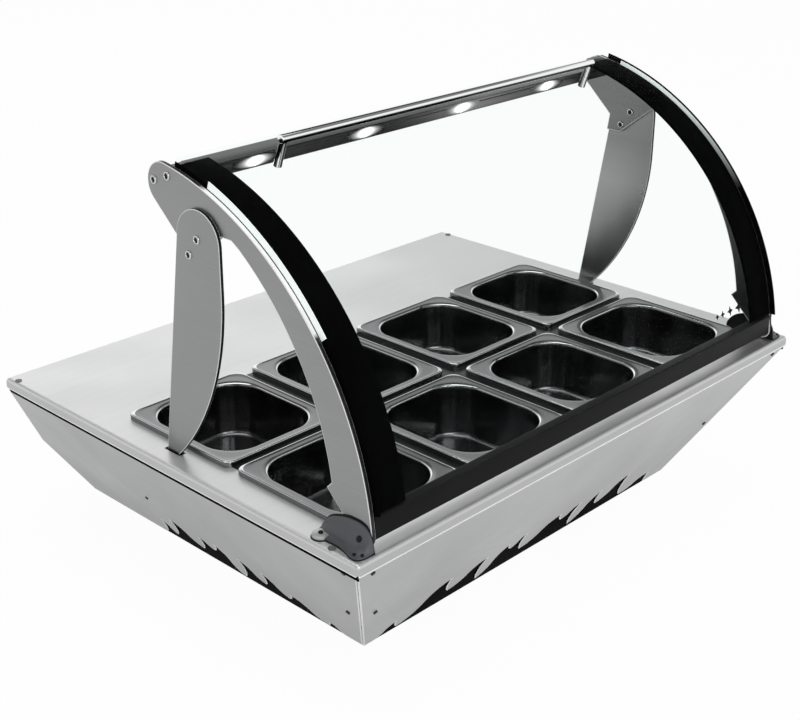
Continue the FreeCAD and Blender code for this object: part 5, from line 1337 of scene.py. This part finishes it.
    def bolts(self) -> None:
        """Bolts through the posts, arms and lamp rail, with heads on both sides where there is room."""
        outer, inner = self.arm_inset - self.post_thickness, self.arm_inset + self.arm_thickness
        for name, spots, free, seat in (("post", self.post_bolts, self.post_bolts, outer),
                                        ("rail", self.rail_bolts, self.rail_bolts[1:], self.arm_inset)):
            made = [self.bolt(seat, spot, AGAINST_X, inner - seat - self.bolt_seat) for spot in spots]
            made += [self.bolt(inner, spot, ALONG_X, self.bolt_seat) for spot in free]
            heads, floors = zip(*made)
            piece(f"{name}_bolt_heads", self.drawing.both(*heads), BOLT, "canopy",
                  [f"{name}_bolts"])
            # A dark disc in each recess paints the shade in it.
            piece(f"{name}_bolt_recess_shade", self.drawing.both(*floors), FASTENER, "canopy")

    def handle(self) -> None:
        """Grab bar whose ends lie flush with its two turned posts."""
        outer = self.glass_radius + self.glass_thickness
        foot, axis = (self.spot(radius, self.handle_angle)
                      for radius in (outer + self.fit_gap, outer + self.handle_reach))
        half, r, soft = self.handle_spacing / 2 + self.handle_radius, self.handle_radius, self.handle_round
        nose = [(r - soft + soft * math.cos(t), half - soft + soft * math.sin(t))
                for t in np.radians([0, 30, 60, 90])]
        bar = [(a, -h) for a, h in reversed(nose)] + nose
        x = self.drawing.width / 2 + self.handle_offset
        rod = piece("handle_grab_bar", [self.drawing.on_case(turned(bar, 40).placed((x, *axis), ALONG_X))],
                    BAR_CHROME, "canopy", ["handle_bar"])
        # Painted reflection: each point's number is how far it faces a fixed direction, which the finish
        # turns into strips.
        carry_painted_light(rod.data, turned_to(rod.data, self.bar_stripe))
        stem = turned([(4.2, 0.0), (4.5, 0.3), (4.5, 3.0), (4.35, 12.0), (4.25, 22.0),
                       (4.2, self.handle_reach - self.stem_short)], 40)
        basis = facing((0.0, *(axis - foot)))
        places = [(x + side * self.handle_spacing / 2, *foot) for side in (-1, 1)]
        posts = [self.drawing.on_case(stem.placed(place, basis)) for place in places]
        stems = piece("handle_turned_posts", posts, POST_CHROME, "canopy", ["handle_posts"])
        # Painted reflection on the posts, from how far each point faces a fixed direction.
        carry_painted_light(stems.data, turned_to(stems.data, self.stem_stripe))

    def build(self) -> None:
        """Make the canopy."""
        self.plates()
        self.pane()
        self.stars()
        self.rails()
        self.lamps()
        self.bolts()
        self.handle()
        dress(COPPER, "hinge_bushes")


@dataclass
class Hinges:
    """Cast hinge feet with their pins and screws."""

    drawing: Drawing
    inner: float = 28.2
    web: float = 3.0
    flange: float = 2.4
    arris: float = 0.6
    flange_arris: float = 0.5
    pin_radius: float = 3.0
    pin_end: float = 33.4
    cap_inset: float = 22.05
    cap_normal: Point = (-0.893, 0.0, 0.45)
    pad_show: float = 0.9
    pad_rise: float = 1.05
    pad_thickness: float = 0.25
    pad_edge: float = 0.05
    ear: Pair = (15.0, 66.0)
    ear_radius: float = 9.0
    ear_thickness: float = 4.0
    gasket: float = 0.5
    gasket_edge: float = 0.1
    gasket_show: Pair = (1.1, 0.8)
    ear_gasket_shift: Pair = (0.6, 0.5)
    ear_gasket_rim: float = 1.0
    screws: tuple[Point, ...] = ((10.5, 15.3, 2.2), (14.3, 8.4, 2.4))
    stations: tuple[Point, ...] = (
        (75.5, 5.0, 18.0, 75.0), (71.0, 12.0, 14.2, 68.0), (63.0, 18.5, 12.3, 58.0), (52.0, 23.0, 12.6, 47.0),
        (42.0, 26.0, 12.0, 37.0), (32.0, 27.0, 9.8, 26.5), (22.5, 26.6, 7.0, 19.0), (15.5, 24.0, 6.4, 13.0),
        (10.6, 18.5, 8.6, 8.6), (7.6, 11.0, 14.5, 6.0), (6.3, 3.2, 21.0, 5.6))

    @property
    def curves(self) -> np.ndarray:
        """Smooth curves along a foot: depth and height of its arch, side and depth of its outline."""
        return smooth(self.stations, 7)

    def casting(self) -> Surface:
        """Web against the arm that flows into a flange on the worktop.

        Along the foot run the curves of its arched upper edge and of its outline on the worktop. Across the
        foot, between the two, lies the quarter of an ellipse that leaves the web upright and meets the flange
        level: side = web - (web - outline)(1 - cos t), height = arch - (arch - flange) sin t.

        Returns:
            The left casting on the drawing.
        """
        depth, arch, side, line = self.curves.T[:, :, None]
        face = self.inner - self.web
        turn = np.linspace(0, math.pi / 2, 16)[None]
        x = face - (face - side) * (1 - np.cos(turn))
        y = depth + (line - depth) * np.sin(turn)
        z = arch - (arch - self.flange) * np.sin(turn)
        still = np.ones_like(depth)
        inner, arris = self.inner, self.arris
        back = [level * still for level in (inner, inner, inner - arris, face + arris)]
        x = np.concatenate([*back, x[:, 1:-1], side + self.flange_arris, side, side], axis=1)
        y = np.concatenate([depth, depth, depth, depth, y[:, 1:-1], line, line, line], axis=1)
        rim = [level * still for level in (self.flange, self.flange - self.flange_arris, 0.0)]
        z = np.concatenate([0 * still, arch - arris, arch, arch, z[:, 1:-1], *rim], axis=1)
        return lofted(np.stack([x, y, z], axis=-1))

    def pad(self) -> Surface:
        """Thin dark pad between the casting and the arm, a little larger than the casting's arch, that paints
        the shade in the gap above the arch.
        """
        arch = self.curves[:, :2] * (1.0, self.pad_rise) + (0.0, self.pad_show)
        ends = [(arch[-1, 0] - self.pad_show, 0.0), (arch[0, 0] + self.pad_show, 0.0)]
        return plate(np.concatenate([arch, ends]), self.inner, self.inner + self.pad_thickness, self.pad_edge)

    def foot_gasket(self) -> Surface:
        """Thin dark gasket under a casting that paints its shadow: its outline on the worktop, moved to the
        front and the side.
        """
        line = self.curves[:, 2:] - self.gasket_show
        ends = [(self.inner, line[-1, 1]), (self.inner, line[0, 1])]
        sheet = plate(np.concatenate([line, ends]), 0.0, self.gasket, self.gasket_edge)
        return sheet.placed((0, 0, 0), [(0, 0, 1), (1, 0, 0), (0, 1, 0)])

    def ears(self) -> None:
        """Ears behind the castings, paler than the casting as painted light, each on a dark gasket that
        paints its shadow and held by a screw with a six-sided recess.
        """
        r, high = self.ear_radius, self.ear_thickness
        ear = turned([(r, 0), (r, high - 0.9), (r - 0.3, high - 0.3), (r - 0.9, high), (0.2, high)])
        head = turned([(2.0, -5.0), (2.0, 0.0), (2.7, 0.0), (2.7, 0.9), (2.3, 1.4), (1.5, 1.5), (1.3, 0.6),
                       (0.2, 0.6)], 36, sides=6, from_row=6)
        rim, top, edge = r + self.ear_gasket_rim, self.gasket, self.gasket_edge
        under = turned([(rim, 0), (rim, top - edge), (rim - edge, top), (0.2, top)])
        ears, heads = (self.drawing.both(form.placed((*self.ear, level), UPRIGHT))
                       for form, level in ((ear, 0), (head, high)))
        piece("hinge_bracket_ears", ears, EAR, "case")
        piece("ear_screw_heads", heads, FASTENER, "case", ["bracket_screws"])
        # The ear's dark gasket, moved off the ear's middle, paints the ear's shadow.
        low = under.placed((*np.subtract(self.ear, self.ear_gasket_shift), 0), UPRIGHT)
        piece("hinge_shadow_gaskets", self.drawing.both(self.foot_gasket(), low), FASTENER, "case")

    def build(self) -> None:
        """Make the castings, ears, pads, pins and screws."""
        for side, surface in zip(SIDES, self.drawing.both(self.casting())):
            piece(f"{side}_hinge_casting", [surface], CASTING, "case",
                  [f"{side}_hinge_bracket"])
        self.ears()
        piece("hinge_shade_pads", self.drawing.both(self.pad()), FASTENER, "case")
        rod = turned([(self.pin_radius, 0.0), (self.pin_radius, 9.0), (0.2, 9.0)], 36)
        cap = turned([(3.3, -2.0), (3.3, 0.5), (3.0, 0.9), (2.2, 1.1), (0.2, 1.2)], 36)
        pin = rod.placed((self.pin_end, *HINGE), AGAINST_X)
        button = cap.placed((self.cap_inset, *HINGE), facing(self.cap_normal, (0, 1, 0)))
        piece("hinge_pin_ends", self.drawing.both(pin, button), FASTENER, "case",
              ["hinge_pins"])
        head = turned([(1.8, 0.0), (1.8, 1.4), (1.5, 1.9), (0.9, 2.1), (0.8, 1.4), (0.1, 1.4)], 30,
                      sides=6, from_row=4)
        screws = [head.placed(spot, UPRIGHT) for spot in self.screws]
        piece("flange_screws", self.drawing.both(*screws), FASTENER, "case")


@dataclass
class Machine:
    """Cooling unit inside the base and the controls at the rear."""

    def build(self) -> None:
        """Dress the cooling unit and the controls."""
        dress(MACHINE_BLACK, "compressor", "fan_shroud", "fan_motor")
        dress(RUBBER, "compressor_mounts")
        dress(INNER_SHEET, "condenser")
        dress(COPPER, "evaporator_coil", "suction_pipe", "hot_gas_pipe", "liquid_pipe")
        dress(PLASTIC, "fan_rotor", "thermostat_body", "thermostat_knob", "power_switch", "power_rocker",
              "power_inlet", "lamp_driver")


@dataclass
class Studio:
    """Floor, world, lamps and camera. A lamp has a name, a place, a size and a power."""

    camera_at: Point = (-1.1712, -1.1267, 0.9112)
    azimuth: float = -46.18
    elevation: float = 23.85
    roll: float = 0.32
    lens: float = 63.456
    sensor: float = 36.0
    sight: float = 200.0
    floor_half: float = 30.0
    floor_grey: Colour = (0.86, 0.86, 0.86)
    floor_white: float = 0.97
    ambient: float = 0.42
    horizon: Pair = (0.40, 0.60)
    zenith: float = 0.22
    lamps: tuple[tuple[str, Point, float, float], ...] = (
        ("key_lamp", (-1.0, -3.0, 2.8), 2.4, 44.0), ("rear_lamp", (1.6, 3.0, 1.5), 2.0, 5.0),
        ("top_lamp", (-0.2, 0.4, 3.0), 2.2, 26.0))
    aim: Point = (0.0, 0.0, 0.25)

    def seen(self, tree: bpy.types.NodeTree) -> Socket:
        """1 for a ray that looks at the background, straight or by way of the object."""
        return any_ray(tree, "Camera", "Glossy", "Transmission")

    def world(self) -> None:
        """White background that darkens high overhead and lights the object at a lower level."""
        world = bpy.data.worlds.new("studio_world")
        tree = empty_tree(world)
        direction = node(tree, "TexCoord", {}).outputs["Generated"]
        height = node(tree, "SeparateXYZ", {0: direction}).outputs["Z"]
        bounds = dict(zip(RANGE, (*self.horizon, 1.0, self.zenith)))
        fade = node(tree, "MapRange", {"Value": height, **bounds}, interpolation_type="SMOOTHSTEP")
        light, back = (node(tree, "Background", {"Color": WHITE, "Strength": strength})
                       for strength in (self.ambient, fade.outputs["Result"]))
        node(tree, "OutputWorld", {"Surface": mixed(tree, self.seen(tree), light, back)})
        bpy.context.scene.world = world

    def floor(self) -> None:
        """Pale floor that keeps the object's shadow: diffuse, but mostly white where rays look at it."""
        mesh = bpy.data.meshes.new("studio_floor")
        corners = np.array([(-1, -1, 0), (1, -1, 0), (1, 1, 0), (-1, 1, 0)]) * self.floor_half
        mesh.from_pydata(corners.tolist(), [], [(0, 1, 2, 3)])
        material = bpy.data.materials.new("studio_floor_white")
        tree = empty_tree(material)
        matt = node(tree, "BsdfDiffuse", {"Color": (*self.floor_grey, 1.0)})
        glow = node(tree, "Emission", {})
        share = node(tree, "Math", {0: self.seen(tree), 1: self.floor_white}, operation="MULTIPLY").outputs[0]
        node(tree, "OutputMaterial", {"Surface": mixed(tree, share, matt, glow)})
        mesh.materials.append(material)
        floor = linked("studio_floor", mesh)

    def lamp(self, name: str, at: Point, size: float, power: float) -> None:
        """Square soft lamp aimed at the middle of the case."""
        data = bpy.data.lights.new(name, "AREA")
        data.size = size
        data.energy = power
        item = linked(name, data)
        item.location = at
        item.rotation_euler = (Vector(self.aim) - Vector(at)).to_track_quat("-Z", "Y").to_euler()

    def camera(self) -> None:
        """Camera at the photograph's viewing angle.

        Its back axis is (sin a cos e, -cos a cos e, sin e). The right axis (cos a, sin a, 0) and the up axis
        are turned about it by the roll.
        """
        a, e, r = (math.radians(angle) for angle in (self.azimuth, self.elevation, self.roll))
        back = Vector((math.sin(a) * math.cos(e), -math.cos(a) * math.cos(e), math.sin(e)))
        right = Vector((math.cos(a), math.sin(a), 0.0))
        up = back.cross(right)
        columns = (right * math.cos(r) + up * math.sin(r), up * math.cos(r) - right * math.sin(r), back)
        data = bpy.data.cameras.new("camera")
        data.lens = self.lens
        data.sensor_width = self.sensor
        data.clip_end = self.sight
        item = linked("camera", data)
        item.matrix_world = Matrix.Translation(self.camera_at) @ Matrix(columns).transposed().to_4x4()
        bpy.context.scene.camera = item

    def build(self) -> None:
        """Set the stage."""
        bpy.context.scene.view_settings.view_transform = "Standard"
        self.world()
        self.floor()
        for lamp in self.lamps:
            self.lamp(*lamp)
        self.camera()


def main() -> None:
    """Build the stage and every sub-assembly."""
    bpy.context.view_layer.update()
    drawing = Drawing.of_case()
    for part in (Studio(), Shell(drawing), Pans(), Canopy(drawing), Hinges(drawing), Machine()):
        part.build()
        LOG.info("%s is done", type(part).__name__)


if __name__ == "__main__":
    logging.basicConfig(level=logging.INFO, format="%(message)s")
    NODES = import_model()["nodes"]
    main()
